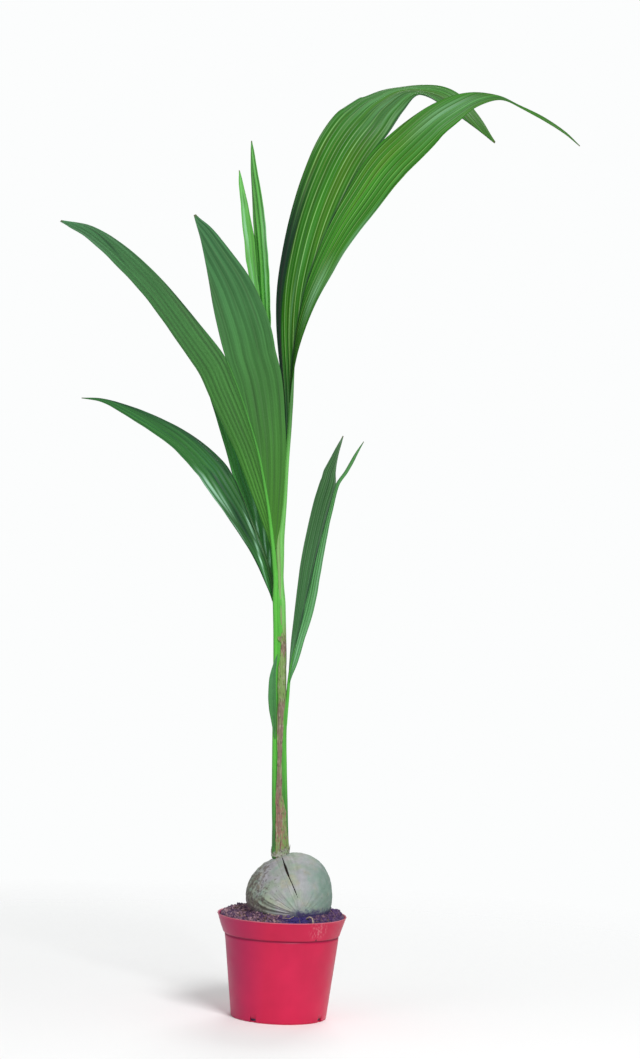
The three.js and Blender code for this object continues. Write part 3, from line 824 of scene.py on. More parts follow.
def make_piece(name, shells, material, nodes=()):
    """Joins shells into one smooth object that rides on the plant's body and stands for the named nodes"""
    starts = np.cumsum([0] + [len(shell.points) for shell in shells[:-1]])
    points = np.vstack([shell.points for shell in shells])
    triangles = np.vstack([shell.triangles + start for shell, start in zip(shells, starts)])
    mesh = bpy.data.meshes.new(name)
    mesh.from_pydata(points.tolist(), [], triangles.tolist())
    places = np.vstack([shell.places for shell in shells])
    mesh.uv_layers.new(name="Pattern").data.foreach_set("uv", places.astype(np.float32).ravel())
    for key in shells[0].values:
        value = np.concatenate([shell.values[key] for shell in shells])
        mesh.attributes.new(key, "FLOAT", "POINT").data.foreach_set("value", value.astype(np.float32))
    mesh.polygons.foreach_set("use_smooth", np.ones(len(triangles), bool))
    mesh.materials.append(material)
    piece = bpy.data.objects.new(name, mesh)
    bpy.context.scene.collection.objects.link(piece)
    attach(piece, BODY)
    if nodes:
        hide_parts(*nodes)


# Materials

TIMES = {"operation": "MULTIPLY"}
PLUS = {"operation": "ADD"}
COLOURS = {"data_type": "RGBA"}


def add(tree, kind, settings, *inputs, give=0):
    """Adds a node with its settings. Its inputs in use take the values given, in their order: a number, a
    colour, a socket to link, or None to stay as it is. It returns the output named, or counted among
    those in use."""
    made = tree.nodes.new("ShaderNode" + kind)
    for name, value in settings.items():
        setattr(made, name, value)
    for socket, value in zip([socket for socket in made.inputs if socket.enabled], inputs):
        if isinstance(value, bpy.types.NodeSocket):
            tree.links.new(value, socket)
        elif value is not None:
            socket.default_value = opaque(value) if socket.type == "RGBA" else value
    outputs = [socket for socket in made.outputs if socket.enabled]
    return outputs[give] if isinstance(give, int) else next(s for s in outputs if s.name == give)


class Surface:
    """A material under construction: its nodes, the colour so far, and the named values of the mesh that it
    reads. A range of values is turned into another by a MapRange node, which holds at its ends."""

    def __init__(self, name, colour, values=(), **plain):
        self.material = bpy.data.materials.new(name)
        self.material.use_nodes = True
        self.tree = self.material.node_tree
        self.shader = self.tree.nodes["Principled BSDF"].inputs
        for key, value in plain.items():
            self.shader[key.replace("_", " ")].default_value = value
        self.colour = colour
        self.value = {key: self.add("Attribute", {"attribute_name": key}, give="Fac") for key in values}

    def add(self, kind, settings, *inputs, give=0):
        """Adds a node, as the function of the same name does"""
        return add(self.tree, kind, settings, *inputs, give=give)

    def blend(self, factor, colour):
        """Turns the colour so far into another where the factor is high"""
        self.colour = self.add("Mix", COLOURS, factor, self.colour, colour)

    def tone(self, factor):
        """Multiplies the colour so far by a value"""
        self.colour = self.add("Mix", {**COLOURS, "blend_type": "MULTIPLY"}, 1.0, self.colour, factor)

    def place(self, *scale):
        """Places in metres, stretched by a scale, or the bare ones"""
        place = self.add("TexCoord", {}, give="Object")
        return self.add("Mapping", {}, place, None, None, scale) if scale else place

    def pattern(self, across, along):
        """Places on the pattern map, with so many to a step across and along"""
        place = self.add("UVMap", {"uv_map": "Pattern"})
        return self.add("Mapping", {}, place, None, None, (across, along, 1))

    def patches(self, place, scale, detail=3, low=0.3, high=0.7, to=(0, 1)):
        """Irregular patches: noise at a place, spread so that low and high become the ends of a range"""
        noise = self.add("TexNoise", {}, place, scale, detail, 0.6)
        return self.add("MapRange", {}, noise, low, high, *to)

    def ramp(self, axis, start, end, low=0, high=1):
        """A value that goes from low to high between two places on an axis, in metres"""
        along = self.add("SeparateXYZ", {}, self.place(), give=axis)
        return self.add("MapRange", {}, along, start, end, low, high)

    def spot(self, centre, far, near, most=1):
        """A round spot: nothing at the far distance from its centre in metres, the most at the near one"""
        away = self.add("VectorMath", {"operation": "DISTANCE"}, self.place(), centre, give="Value")
        return self.add("MapRange", {}, away, far, near, 0, most)

    def finish(self, height=None, strength=0.5, depth=0.0005, roughness=None):
        """Links the colour, a bump of a depth in metres and the roughness"""
        self.tree.links.new(self.colour, self.shader["Base Color"])
        if height is not None:
            bump = self.add("Bump", {}, strength, depth, None, height)
            self.tree.links.new(bump, self.shader["Normal"])
        if roughness is not None:
            self.tree.links.new(roughness, self.shader["Roughness"])
        return self.material


def matt_floor(colour):
    """Matt studio paper: plain and pale, and faded into the backdrop towards its edge"""
    made = Surface("matt_floor", colour, Roughness=1.0)
    away = made.add("VectorMath", {"operation": "LENGTH"}, made.place(), give="Value")
    made.tree.links.new(made.add("MapRange", {}, away, 0.25, 1.5, 1, 0), made.shader["Alpha"])
    made.shader["Base Color"].default_value = opaque(colour)
    return made.material


def moulded_polypropylene(colour):
    """Injection-moulded polypropylene: crimson with faint clouding, painted shade in magenta on the left, a
    soft sheen, a lip painted pale as a highlight, painted shade and one dark drop in the groove under the
    band, and pale upright scratches about a millimetre wide in one scuffed patch on the rim"""
    made = Surface("moulded_polypropylene", colour, ("grime", "rim"), IOR=1.49, Specular_IOR_Level=0.26)
    made.tone(made.patches(made.place(), 20, 2, to=(0.9, 1.04)))
    # Painted shade: the left side turns darker magenta
    made.blend(made.ramp("X", -0.02, -0.09, 0, 0.65), "#8e1c60")
    grain = made.patches(made.place(1, 1, 0.3), 600, 3)
    scratches = made.patches(made.place(1.6, 1, 0.4), 330, 3, 0.48, 0.66)
    scuffed = made.add("Math", TIMES, made.spot((0.054, -0.073, 0.138), 0.018, 0.006), scratches)
    made.blend(made.add("Math", TIMES, scuffed, 0.7), "#d9848f")
    # Painted shade in the groove under the band
    made.blend(made.add("Math", TIMES, made.value["grime"], 0.6), "#7d1040")
    made.blend(made.spot((0.0505, -0.0697, 0.1235), 0.0024, 0.001), "#5a0a2a")
    # Painted highlight on the lip
    made.blend(made.value["rim"], "#d07a88")
    return made.finish(grain, 0.12, 0.0002, made.patches(made.place(), 30, 3, to=(0.34, 0.46)))


def damp_compost(dark, light):
    """Damp bark compost: plum-brown, rough and matt, with drier paler grains of 1 to 3 mm, and an indigo
    shadow painted at the nut's foot"""
    made = Surface("damp_compost", dark, Roughness=0.9)
    coarse = made.patches(made.place(), 260, 5, 0.45, 0.75)
    made.blend(coarse, light)
    # Painted shadow of the nut, in indigo
    made.blend(made.spot(NUT_SHADOW_SPOT, 0.03, 0.012, 0.85), SHADOW_INDIGO)
    return made.finish(coarse, 0.8, 0.002)


def compost_crumb(dark, light):
    """Crumbs of bark and peat, each of one tone from damp plum-brown to dry pinkish brown, more violet on
    the right as painted shade, and indigo in the shadow painted at the nut's foot"""
    made = Surface("compost_crumb", dark, ("tone",), Roughness=0.85)
    made.blend(made.value["tone"], light)
    # Painted shade: more violet on the right, under the nut
    made.blend(made.ramp("X", 0.0, 0.05, 0, 0.75), "#4a2f66")
    # Painted shadow of the nut, in indigo
    made.blend(made.spot(NUT_SHADOW_SPOT, 0.03, 0.012, 0.85), SHADOW_INDIGO)
    made.tone(made.patches(made.place(), 500, 2, to=(0.75, 1.25)))
    return made.finish()


def dry_root(name, colour):
    """Dry roots and coir: dull and finely streaked"""
    made = Surface(name, "#6b5244", Roughness=0.8)
    made.blend(made.patches(made.place(), 500, 2), colour)
    return made.finish()


def weathered_husk(husk, bare):
    """Weathered coconut husk: a smooth grey-green skin with lilac and beige worn patches, faintly
    streaked from end to end, folds with a painted highlight on their pale ridges and painted shade in their
    dark creases, brown and plum specks of 1 to 4 mm where it lay damp, a dark crack, and painted shade on
    its right side, on its underside and in a ragged violet band low at its right"""
    made = Surface("weathered_husk", husk, ("fold", "dark"), Roughness=0.68)
    fibre = made.patches(made.pattern(60, 3), 1, 3)
    made.blend(made.patches(made.place(), 26, 3, 0.42, 0.6, (0, 0.85)), bare)
    made.blend(made.patches(made.place(1.1, 1, 1), 40, 4, 0.5, 0.66, (0, 0.7)), "#86a192")
    made.blend(made.patches(made.place(1, 1, 1.1), 60, 3, 0.55, 0.7, (0, 0.55)), "#a8a08a")
    made.tone(made.add("MapRange", {}, fibre, 0, 1, 0.94, 1.05))
    made.tone(made.patches(made.place(), 110, 4, to=(0.86, 1.1)))
    # Painted highlight on the folds' ridges and painted shade in their creases
    made.blend(made.add("MapRange", {}, made.value["fold"], 0.1, 0.8, 0, 0.6), "#b4bea0")
    made.blend(made.add("MapRange", {}, made.value["fold"], -0.05, -0.7, 0, 0.6), "#5c6450")
    # Painted shade: darker cyan-green patches on the right side
    right = made.patches(made.place(), 75, 3, 0.3, 0.6, (0.5, 1))
    made.blend(made.add("Math", TIMES, made.ramp("X", 0.02, 0.06), right), "#6f8a7e")
    # Earth clings to the lower left
    corner = made.add("Math", TIMES, made.ramp("Z", 0.186, 0.158), made.ramp("X", -0.01, -0.045))
    stain = made.add("Math", TIMES, corner, made.patches(made.place(), 90, 4, 0.3, 0.6, (0.35, 1)))
    made.blend(made.add("Math", TIMES, stain, 0.75), "#7d6a5e")
    # The specks, brown and then plum: how fine they are, what they lose at the right and gain at the left,
    # the range that shows, how strong they are, and their colour
    left = made.ramp("X", 0.0, -0.042)
    for fine, loss, gain, low, high, most, colour in (
        (120, -0.3, 0.2, 0.05, 0.3, 0.7, "#655c50"),
        (210, -0.34, 0.1, 0.08, 0.26, 0.6, "#4a3a42"),
    ):
        speck = made.patches(made.place(), fine, 4, to=(-0.5, 0.5))
        speck = made.add("Math", PLUS, speck, made.add("MapRange", {}, left, 0, 1, loss, gain))
        made.blend(made.add("MapRange", {}, speck, low, high, 0, most), colour)
    # Painted shade: the underside is darker, and a ragged violet band low at the right is the shade under
    # the nut
    made.blend(made.ramp("Z", 0.163, 0.149), "#352b48")
    height = made.add("SeparateXYZ", {}, made.place(), give="Z")
    ragged = made.add("Math", PLUS, height, made.patches(made.place(), 200, 4, to=(-0.005, 0.005)))
    ragged = made.add("MapRange", {}, ragged, 0.168, 0.16)
    made.blend(made.add("Math", TIMES, ragged, made.ramp("X", 0.006, 0.024, 0.15, 0.95)), "#3a2e62")
    made.blend(made.value["dark"], "#3a2622")
    return made.finish(fibre, 0.3, 0.0005)


def papery_scale():
    """Torn papery scales: dull whitish grey, with green and a few dark brown stains of about 4 mm"""
    made = Surface("papery_scale", "#a9a99c", Roughness=0.8)
    made.blend(made.patches(made.place(), 210, 2, 0.45, 0.62, (0, 0.7)), "#7c9468")
    made.blend(made.patches(made.place(), 260, 3, 0.52, 0.62, (0, 0.8)), "#4c4038")
    return made.finish()


def living_sheath(colour):
    """Living palm sheath and stalk: smooth bright green with fine lengthwise streaks and a wax-like sheen,
    paler where it is young, straw-coloured at a dry edge, as deep as the leaf up a rib, and dulled low on
    the trunk and petioles as painted shade"""
    made = Surface("living_sheath", colour, ("pale", "dull", "straw"), IOR=1.45)
    streak = made.patches(made.pattern(18, 2.5), 1, 4)
    made.blend(made.value["pale"], "#7dc468")
    made.blend(made.value["dull"], "#3a6c34")
    made.tone(made.add("MapRange", {}, streak, 0, 1, 0.8, 1.15))
    broken = made.add("MapRange", {}, streak, 0, 1, 1, 0.55)
    made.blend(made.add("Math", TIMES, made.value["straw"], broken), "#937f6e")
    return made.finish(streak, 0.3, 0.0004, made.add("MapRange", {}, streak, 0, 1, 0.46, 0.36))


def fibrous_sheath(colour):
    """Dried fibrous sheath: brown, in lengthwise streaks a millimetre wide, with living green showing
    through, pink and rust streaks of 1 by 6 mm near its foot, whitish and dark flecks, and painted shade
    along its right edge high up"""
    made = Surface("fibrous_sheath", colour, ("living", "pink", "dark"), Roughness=0.75)
    streak = made.patches(made.pattern(10, 0.8), 1, 4, 0.35, 0.65)
    green = made.patches(made.pattern(7, 4), 1, 3, 0.35, 0.65)
    green = made.add("Math", PLUS, green, made.value["living"])
    made.blend(made.add("MapRange", {}, green, 0.75, 1.15), "#7a9a54")
    pink = made.patches(made.pattern(8, 11), 1, 2, 0.35, 0.65)
    pink = made.add("Math", PLUS, pink, made.value["pink"])
    made.blend(made.add("MapRange", {}, pink, 1, 1.4, 0, 0.8), "#96655c")
    made.blend(made.patches(made.pattern(6, 10), 1, 3, 0.54, 0.7, (0, 0.65)), "#b4ac98")
    made.blend(made.patches(made.pattern(5, 13), 1.1, 2, 0.56, 0.68, (0, 0.7)), "#4b3a32")
    made.tone(made.add("MapRange", {}, streak, 0, 1, 0.82, 1.14))
    # Painted shade along the right edge
    made.blend(made.add("Math", TIMES, made.value["dark"], 0.8), "#3f2b33")
    return made.finish(streak, 0.6, 0.0006)


def palm_blade(name, upper_base, upper_tip, under_base, under_tip, vein, second, highlight_green, plain, bands, shine):
    """Young palm leaf with a wax-like skin: its two faces differ in green, each pleat a little in tone and
    some in hue. A pale vein runs on each pleat's ridge, and parallel veins are drawn about 2 mm apart,
    because closer ones wouldn't show. Its brightness along each half is painted light and shade, pale sheen
    is painted in places as highlights, the folds and some patches are painted dark as shade, and the tips
    are dry and brown"""
    values = ("way", "upper", "light", "inside", "bloom", "shade", "dry")
    made = Surface(name + "_blade", upper_base, values, IOR=1.42, Specular_IOR_Level=shine)
    above = made.add("Mix", COLOURS, made.value["way"], upper_base, upper_tip)
    below = made.add("Mix", COLOURS, made.value["way"], under_base, under_tip)
    made.colour = made.add("Mix", COLOURS, made.value["upper"], below, above)
    made.blend(made.patches(made.pattern(0.9, 0.2), 1.9, 2, 0.5, 0.64, (0, 0.5)), second)
    made.tone(made.value["light"])
    made.tone(made.patches(made.pattern(1.3, 0.25), 1.7, 2, to=(1 - bands, 1 + bands)))
    line = made.patches(made.pattern(3, 0.5), 1, 1)
    made.tone(made.add("MapRange", {}, line, 0, 1, 0.86, 1.12))
    # The distance to the nearest whole number is the distance to a vein, in pleats
    number = made.add("SeparateXYZ", {}, made.pattern(1, 1), give="X")
    fold = made.add("Math", {"operation": "PINGPONG"}, number, 0.5)
    near = made.add("MapRange", {}, fold, 0.11, 0.03, 0, plain)
    strength = made.patches(made.pattern(1, 0.4), 1.3, 2, 0.25, 0.6)
    strength = made.add("Math", TIMES, made.value["inside"], strength)
    made.blend(made.add("Math", TIMES, near, strength), vein)
    # Painted highlight: a pale sheen in streaky patches
    broken = made.add("MapRange", {}, line, 0.15, 0.8, 0.2, 1)
    made.blend(made.add("Math", TIMES, made.value["bloom"], broken), highlight_green)
    # Painted shade
    made.blend(made.value["shade"], "#14282a")
    made.blend(made.add("Math", TIMES, made.value["dry"], 0.7), "#6b5a40")
    return made.finish(line, 0.3, 0.0003, made.add("MapRange", {}, line, 0, 1, 0.36, 0.52))


# Shapes


def pot_shells(wall):
    """The pot as a ring that is a profile carried round, and a floor disc. The outer profile rises
    straight from the foot to a narrow groove under the band, the rim flares on a curve to a rolled lip,
    and the inner one runs a wall's thickness inside. At a notch the ring's foot is lifted by the notch's
    height."""
    base, side, band = POT_BASE_RADIUS, POT_WALL_RADIUS, POT_BAND_HEIGHT
    foot = [(base - wall, 0), (base - 1, 0), (base, 1)]
    # The wall ends just under the groove, where its rows stand closer
    shares = np.append(np.linspace(0.03, 0.93, 13), (0.985, 1))
    rise = [(base + (side - base) * share, 1 + (band - 4.4) * share) for share in shares]
    groove = [(side + inward, band + down) for inward, down in POT_GROOVE]
    step = [(POT_BAND_RADIUS - 0.5, band), (POT_BAND_RADIUS, band + 0.7)]
    inner = [(radius - wall, height) for radius, height in POT_RIM[::-1]]
    inner += [(side - wall, band + 1), (side - 1.6 - wall, band - 4), (base - wall, 1.5)]
    profile = np.array(foot + rise + groove + step + POT_RIM + POT_LIP + inner)
    first = len(foot + rise)
    # Painted shade in the groove under the band
    grime = np.zeros(len(profile))
    grime[first - 1:first + len(groove) + 1] = (0.35, 1, 1, 1, 0.5)
    # A painted highlight on the lip, all round
    rim = np.zeros(len(profile))
    rim[first + len(groove + step + POT_RIM):][:len(POT_LIP)] = 0.6
    edges = [notch - 90 + side for notch in NOTCH_ANGLES for side in notch_edges()]
    angle = np.sort(np.radians(np.append(np.linspace(0, 360, POT_SIDES, endpoint=False), edges) % 360))
    from_notch = (np.degrees(angle)[:, None] - np.array(NOTCH_ANGLES) + 90 + 180) % 360 - 180
    at_notch = (np.abs(from_notch) < notch_edges()[2]).any(1)
    radius, height = profile[:, :1], profile[:, 1:]
    lifted = np.where(at_notch & (height < NOTCH_HEIGHT), NOTCH_HEIGHT, height)
    points = carried_round(radius, lifted, angle)
    points[..., 0] += RIM_ASIDE * eased(112, 132, height)
    across, along = np.meshgrid(closed_turns(angle), np.arange(len(profile) + 1.0))
    ring = grid_shell(points, across, along, ring=True, grime=grime[:, None], rim=rim[:, None])
    edge = base - wall + 0.1
    disc_radii = np.array([0.5, 40, edge, edge, 40, 0.5])[:, None]
    disc_heights = np.array([0.2, 0.2, 0.2, wall, wall, wall])[:, None]
    disc = carried_round(disc_radii, disc_heights, angles(120))
    across, along = np.meshgrid(np.linspace(0, 1, 121), np.arange(6.0))
    return [ring, grid_shell(disc, across, along, grime=0.0, rim=0.0)]


def notch_edges():
    """The angles of a notch's two edges from its middle in degrees, each twice so that the edge is sharp"""
    half = np.degrees(NOTCH_WIDTH / 2 / POT_BASE_RADIUS)
    return (-half - 0.02, -half + 0.02, half - 0.02, half + 0.02)


def nut_turn():
    """The shortest turn that brings the y axis to the nut's axis, as a matrix"""
    turn = Vector((0, 1, 0)).rotation_difference(Vector(NUT_AXIS).normalized())
    return np.array(turn.to_matrix())


def nut_reach(x, y, z):
    """How far points lie from the nut's centre, as a share of its size in their direction"""
    local = (np.stack([x, y, z], -1) - NUT_CENTRE) @ nut_turn()
    return np.linalg.norm(local / (NUT_RADIUS, NUT_HALF_LENGTH, NUT_RADIUS), axis=-1)


def compost_height(x, y):
    """The compost's surface: nearly level, a little higher at the back, heaped against the nut, with
    lumps of a few millimetres"""
    out = np.hypot(x, y)
    level = COMPOST_TOP_HEIGHT - 1.2 * eased(COMPOST_EDGE_RADIUS - 12, COMPOST_EDGE_RADIUS, out)
    level = level + COMPOST_BACK_RISE * eased(-10, 40, y)
    gap = (nut_reach(x, y, 0 * x + COMPOST_TOP_HEIGHT) - 1) * NUT_RADIUS
    heap = COMPOST_HEAP * np.exp(-(np.clip(gap, 0, None) / 11) ** 2) * (1 - eased(73, 87, out))
    spot = np.stack([x, y, 0 * x], -1)
    return level + heap + 0.9 * lumps(spot, 17, SEED) + 0.5 * lumps(spot, 6, SEED + 1)


def compost_shell():
    """The compost as rings from the middle of its surface out to the wall and in again under it"""
    around = angles(200)
    out = np.linspace(1, COMPOST_EDGE_RADIUS, 60)[:, None]
    x, y = out * np.cos(around), out * np.sin(around)
    top = np.stack([x, y, compost_height(x, y)], -1)
    low_radius = np.array([POT_WALL_RADIUS - POT_WALL - 1, POT_BASE_RADIUS - POT_WALL - 0.6, 1])[:, None]
    low_height = np.array([POT_BAND_HEIGHT - 6, POT_WALL + 0.3, POT_WALL + 0.3])[:, None]
    points = np.concatenate([top, carried_round(low_radius, low_height, around)])
    across, along = np.meshgrid(np.linspace(0, 1, 201), np.arange(len(points) * 1.0))
    return grid_shell(points, across, along)


def scattered(count, random, reach, clear):
    """Random points on the compost, outside the nut by a clearance and within a radius"""
    x, y = random.uniform(-reach, reach, (2, count * 5))
    z = compost_height(x, y)
    keep = (np.hypot(x, y) < reach) & (nut_reach(x, y, z) > 1 + clear / NUT_RADIUS)
    return np.stack([x, y, z], -1)[keep][:count]


def crumb_shells(count):
    """Crumbs: balls of 1 to 7 mm, most of them small, stretched, turned and dented at random"""
    made = bmesh.new()
    bmesh.ops.create_icosphere(made, subdivisions=2, radius=1)
    ball = np.array([v.co for v in made.verts])
    faces = np.array([[v.index for v in face.verts] for face in made.faces])
    made.free()
    random = np.random.default_rng(SEED)
    shells = []
    for spot in scattered(count, random, COMPOST_EDGE_RADIUS - 2, 0.5):
        size = 0.6 + 2.6 * random.uniform(0, 1) ** 3
        turn, _ = np.linalg.qr(random.normal(size=(3, 3)))
        shape = ball * random.uniform(0.5, 1.2, 3) * random.uniform(0.8, 1.15, (len(ball), 1))
        points = (shape @ turn.T * size + spot + (0, 0, size * 0.25)) * MM
        tone = np.full(len(ball), random.uniform(0, 1) ** 2)
        shells.append(Shell(points, faces, np.zeros((len(faces), 3, 2)), {"tone": tone}))
    return shells


def fibre_shells(count):
    """Loose fibres: thin tubes on arcs that lie on the compost and lift a little at their middle"""
    random = np.random.default_rng(SEED + 2)
    shells = []
    for spot in scattered(count, random, COMPOST_EDGE_RADIUS - 8, 4):
        way = np.linspace(-1, 1, 7)
        heading = random.uniform(0, 2 * np.pi) + random.uniform(-0.9, 0.9) * way
        half = random.uniform(4, 12)
        x = spot[0] + half * way * np.cos(heading)
        y = spot[1] + half * way * np.sin(heading)
        inside = np.minimum(1, (COMPOST_EDGE_RADIUS - 3) / np.hypot(x, y))
        z = compost_height(x * inside, y * inside) + 0.7 + random.uniform(0, 2) * (1 - way ** 2)
        thick = random.uniform(0.2, 0.45)
        path = Line(np.stack([x * inside, y * inside, z], -1))
        shells.append(tube(path, [(0, thick), (1, thick * 0.6)], 6, 14))
    return shells


def root_shells():
    """Pale roots that leave the husk near its blossom end: tubes on one loop and on strands at its foot"""
    loop = [
        (34, -68, 153), (36.5, -72, 156), (40, -75, 157.8), (43.2, -77, 155.8), (44.4, -78.5, 152),
        (44.6, -80, 147),
    ]
    strands = [
        [(-17, -69, 151.5), (-7, -72.5, 154), (1.2, -74, 154.8), (9.9, -76, 154.8), (16.5, -74, 157.6)],
        [(-21, -61.5, 158.5), (-12, -66.5, 157.2), (-3.3, -70, 156.6), (6.8, -72.5, 158.6)],
        [(-18, -70, 149.5), (-8, -78, 150.5), (2, -79, 149.5)],
    ]
    shells = [tube(Line(loop), [(0, 1.1), (0.5, 1.1), (1, 0.8)], 10, 40)]
    return shells + [tube(Line(points), [(0, 0.8), (1, 0.5)], 8, 30) for points in strands]


def nut_shell(fibre_depth, crack_width):
    """The coconut: a ball drawn out along its axis, with three broad ridges from end to end, shallow dents,
    folds that gather towards the blossom end, and a crack whose depth falls off with the distance from its
    line. The columns stand closer where the crack is."""
    turn = nut_turn()
    size = np.array([NUT_RADIUS, NUT_HALF_LENGTH, NUT_RADIUS])
    ridge = np.radians(NUT_RIDGE_TURN)
    way = np.linspace(0, 1, 80)
    crack = Line((np.array(CRACK) - NUT_CENTRE) @ turn).point(way)
    middle = np.arctan2(crack[:, 2], crack[:, 0])[10:60].mean()
    spread = np.radians(13)
    dense = np.linspace(middle - spread, middle + spread, 110)
    rest = np.linspace(middle + spread, middle - spread + 2 * np.pi, 262)[1:-1]
    around = np.concatenate([dense, rest])
    down = np.linspace(0.004, np.pi - 0.004, 210)[:, None]
    out = np.sin(down)
    ball = np.stack([np.cos(around) * out, np.cos(down) + 0 * around, np.sin(around) * out], -1)
    radius = NUT_RADIUS + NUT_RIDGE * np.cos(3 * (around - ridge)) + 0 * down
    smooth = ball * np.stack([radius, NUT_HALF_LENGTH + 0 * radius, radius], -1)
    # The folds are deep from the left side down to the earth, and faint elsewhere
    leftward = np.exp(-((np.cos(around - np.radians(205)) - 1) / 0.75) ** 2)
    gather = eased(0.03, 0.25, down) * (1 - eased(0.5 + 0.35 * leftward, 0.85 + 0.6 * leftward, down))
    turns = around / (2 * np.pi)
    fold = ripple(turns * 7 + 0.14 * np.sin(2.2 * down), SEED, 9)
    fold = np.clip(np.abs(fold) * 2.2 - 0.9, -1, 1) * gather * (0.22 + 0.78 * leftward)
    fine = 0.3 * ripple(turns * 26 + 0.1 * down, SEED + 3, 5) * out
    dents = 0.6 * lumps(smooth, 60, SEED + 4) + 0.25 * lumps(smooth, 17, SEED + 5)
    # The crack's line is drawn out to the husk's skin, and so is each point that is measured from it
    line = unit(crack / size)
    away = np.linalg.norm(unit(smooth / size)[:, :, None] - line, axis=-1) * NUT_RADIUS
    near = away.min(-1)
    widths = [
        (0, 0.15), (0.3, 0.5), (0.44, 1), (0.58, 0.9), (0.66, 0.42), (0.8, 0.35), (0.9, 0.42), (1, 0.12),
    ]
    wide = crack_width / MM / 2 * np.interp(way, *np.array(widths).T)
    inside = np.clip(1 - near / wide[away.argmin(-1)], 0, 1)
    lip = 0.4 * np.exp(-((near - 2.6) / 1.6) ** 2)
    cut = CRACK_DEPTH * np.minimum(1, 1.6 * inside)
    relief = fold * fibre_depth / MM + fine + dents + lip - cut
    points = (smooth + ball * relief[..., None]) @ turn.T + NUT_CENTRE
    across, along = np.meshgrid(closed_turns(around), down[:, 0] / np.pi)
    return grid_shell(points, across, along, dark=np.minimum(1, 2.2 * inside), fold=fold)


def trunk_axis(height):
    """The trunk's middle and radius at heights"""
    path = np.array(TRUNK_PATH, float)
    line = Line(TRUNK_PATH)
    share = np.interp(height, line.point(line.shares)[:, 2], line.shares)
    radius = np.interp(share, np.linspace(0, 1, len(TRUNK_RADII)), TRUNK_RADII)
    return np.interp(height, path[:, 2], path[:, 0]), np.interp(height, path[:, 2], path[:, 1]), radius


def sheath_shells():
    """The rolled sheaths: the trunk with low flutes, drawn in at its top. The radius grows slowly round
    it to the edge of each outer sheath, which is dry there, and steps down past it. On the trunk lie the
    petioles before their leaves part, each run on a little way inside its stalk, and a thin sheath that
    spans the gap between two of them."""
    def from_edges(angle, way):
        """How far round the trunk a point lies from the edges of its two outermost sheaths, in turns"""
        turn = angle / (2 * np.pi)
        return (turn - 0.14 - 0.17 * way) % 1, (0.36 - 0.14 * way - turn) % 1

    def flutes(angle, way):
        """What the flutes and the sheaths' edges add to the radius, less what draws the top in"""
        low = 0.35 * np.cos(2 * angle + 5 * way) + 0.2 * np.cos(5 * angle - 9 * way)
        return low + 0.45 * sum(from_edges(angle, way)) - 1.35 - 3.5 * eased(0.9, 1, way)

    steps, sides = 240, 120
    way = np.linspace(0, 1, steps)[:, None]
    radii = list(zip(np.linspace(0, 1, len(TRUNK_RADII)), TRUNK_RADII))
    angle = angles(sides)
    values = {
        # The trunk is dulled towards its foot, painted shade
        "dull": 0.65 - 0.5 * eased(0.15, 0.5, way),
        "pale": 0.0,
        "straw": sum(0.8 * np.exp(-((1 - run) / 0.02) ** 2) for run in from_edges(angle, way)),
    }
    shells = [tube(Line(TRUNK_PATH), radii, sides, steps, TRUNK_START, flutes, **values)]
    steps = 220
    way = np.linspace(0, 1, steps)[:, None]
    for leaf in LEAVES.values():
        line = Line(leaf["petiole"] + leaf["midline"][:2])
        start = np.array(leaf["midline"][0])
        meet = line.shares[np.linalg.norm(line.point(line.shares) - start, axis=1).argmin()]
        line = Line(line.point(np.linspace(0, meet + PETIOLE_OVERLAP / line.length, 60)))
        meet = 1 - PETIOLE_OVERLAP / line.length
        radius, end = leaf["petiole_radius"], leaf["radii"][0][1]
        x, y = leaf["shift"][0][1:]
        shift = [(0, 0, 0), (0.7 * meet, 0, 0), (meet, x, y), (1, x, y)]
        radii = [(0, radius * 0.85), (0.4 * meet, radius), (meet, end + 0.03), (1, end + 0.03)]
        dry = leaf.get("dry_foot", 0)
        pale = leaf["pale"] * eased(0.1, 0.5, way) if dry else leaf["pale"] * eased(0.7, 1, way)
        # Each petiole is dulled below 250 to 400 mm, painted shade
        dull = (0.9 - 0.9 * eased(250, 400, line.point(way[:, 0])[:, 2:])) * (1 - pale)
        straw = dry * (1 - eased(0.3, 0.5, way))
        values = {"dull": dull, "pale": pale, "straw": straw}
        shells.append(tube(line, radii, 20, steps, shift=shift, tuck=STALK_TUCK, **values))
    values = {"dull": 0.0, "pale": 0.7, "straw": 0.75 - 0.5 * way}
    return shells + [tube(Line(MEMBRANE), MEMBRANE_RADII, 24, steps, **values)]


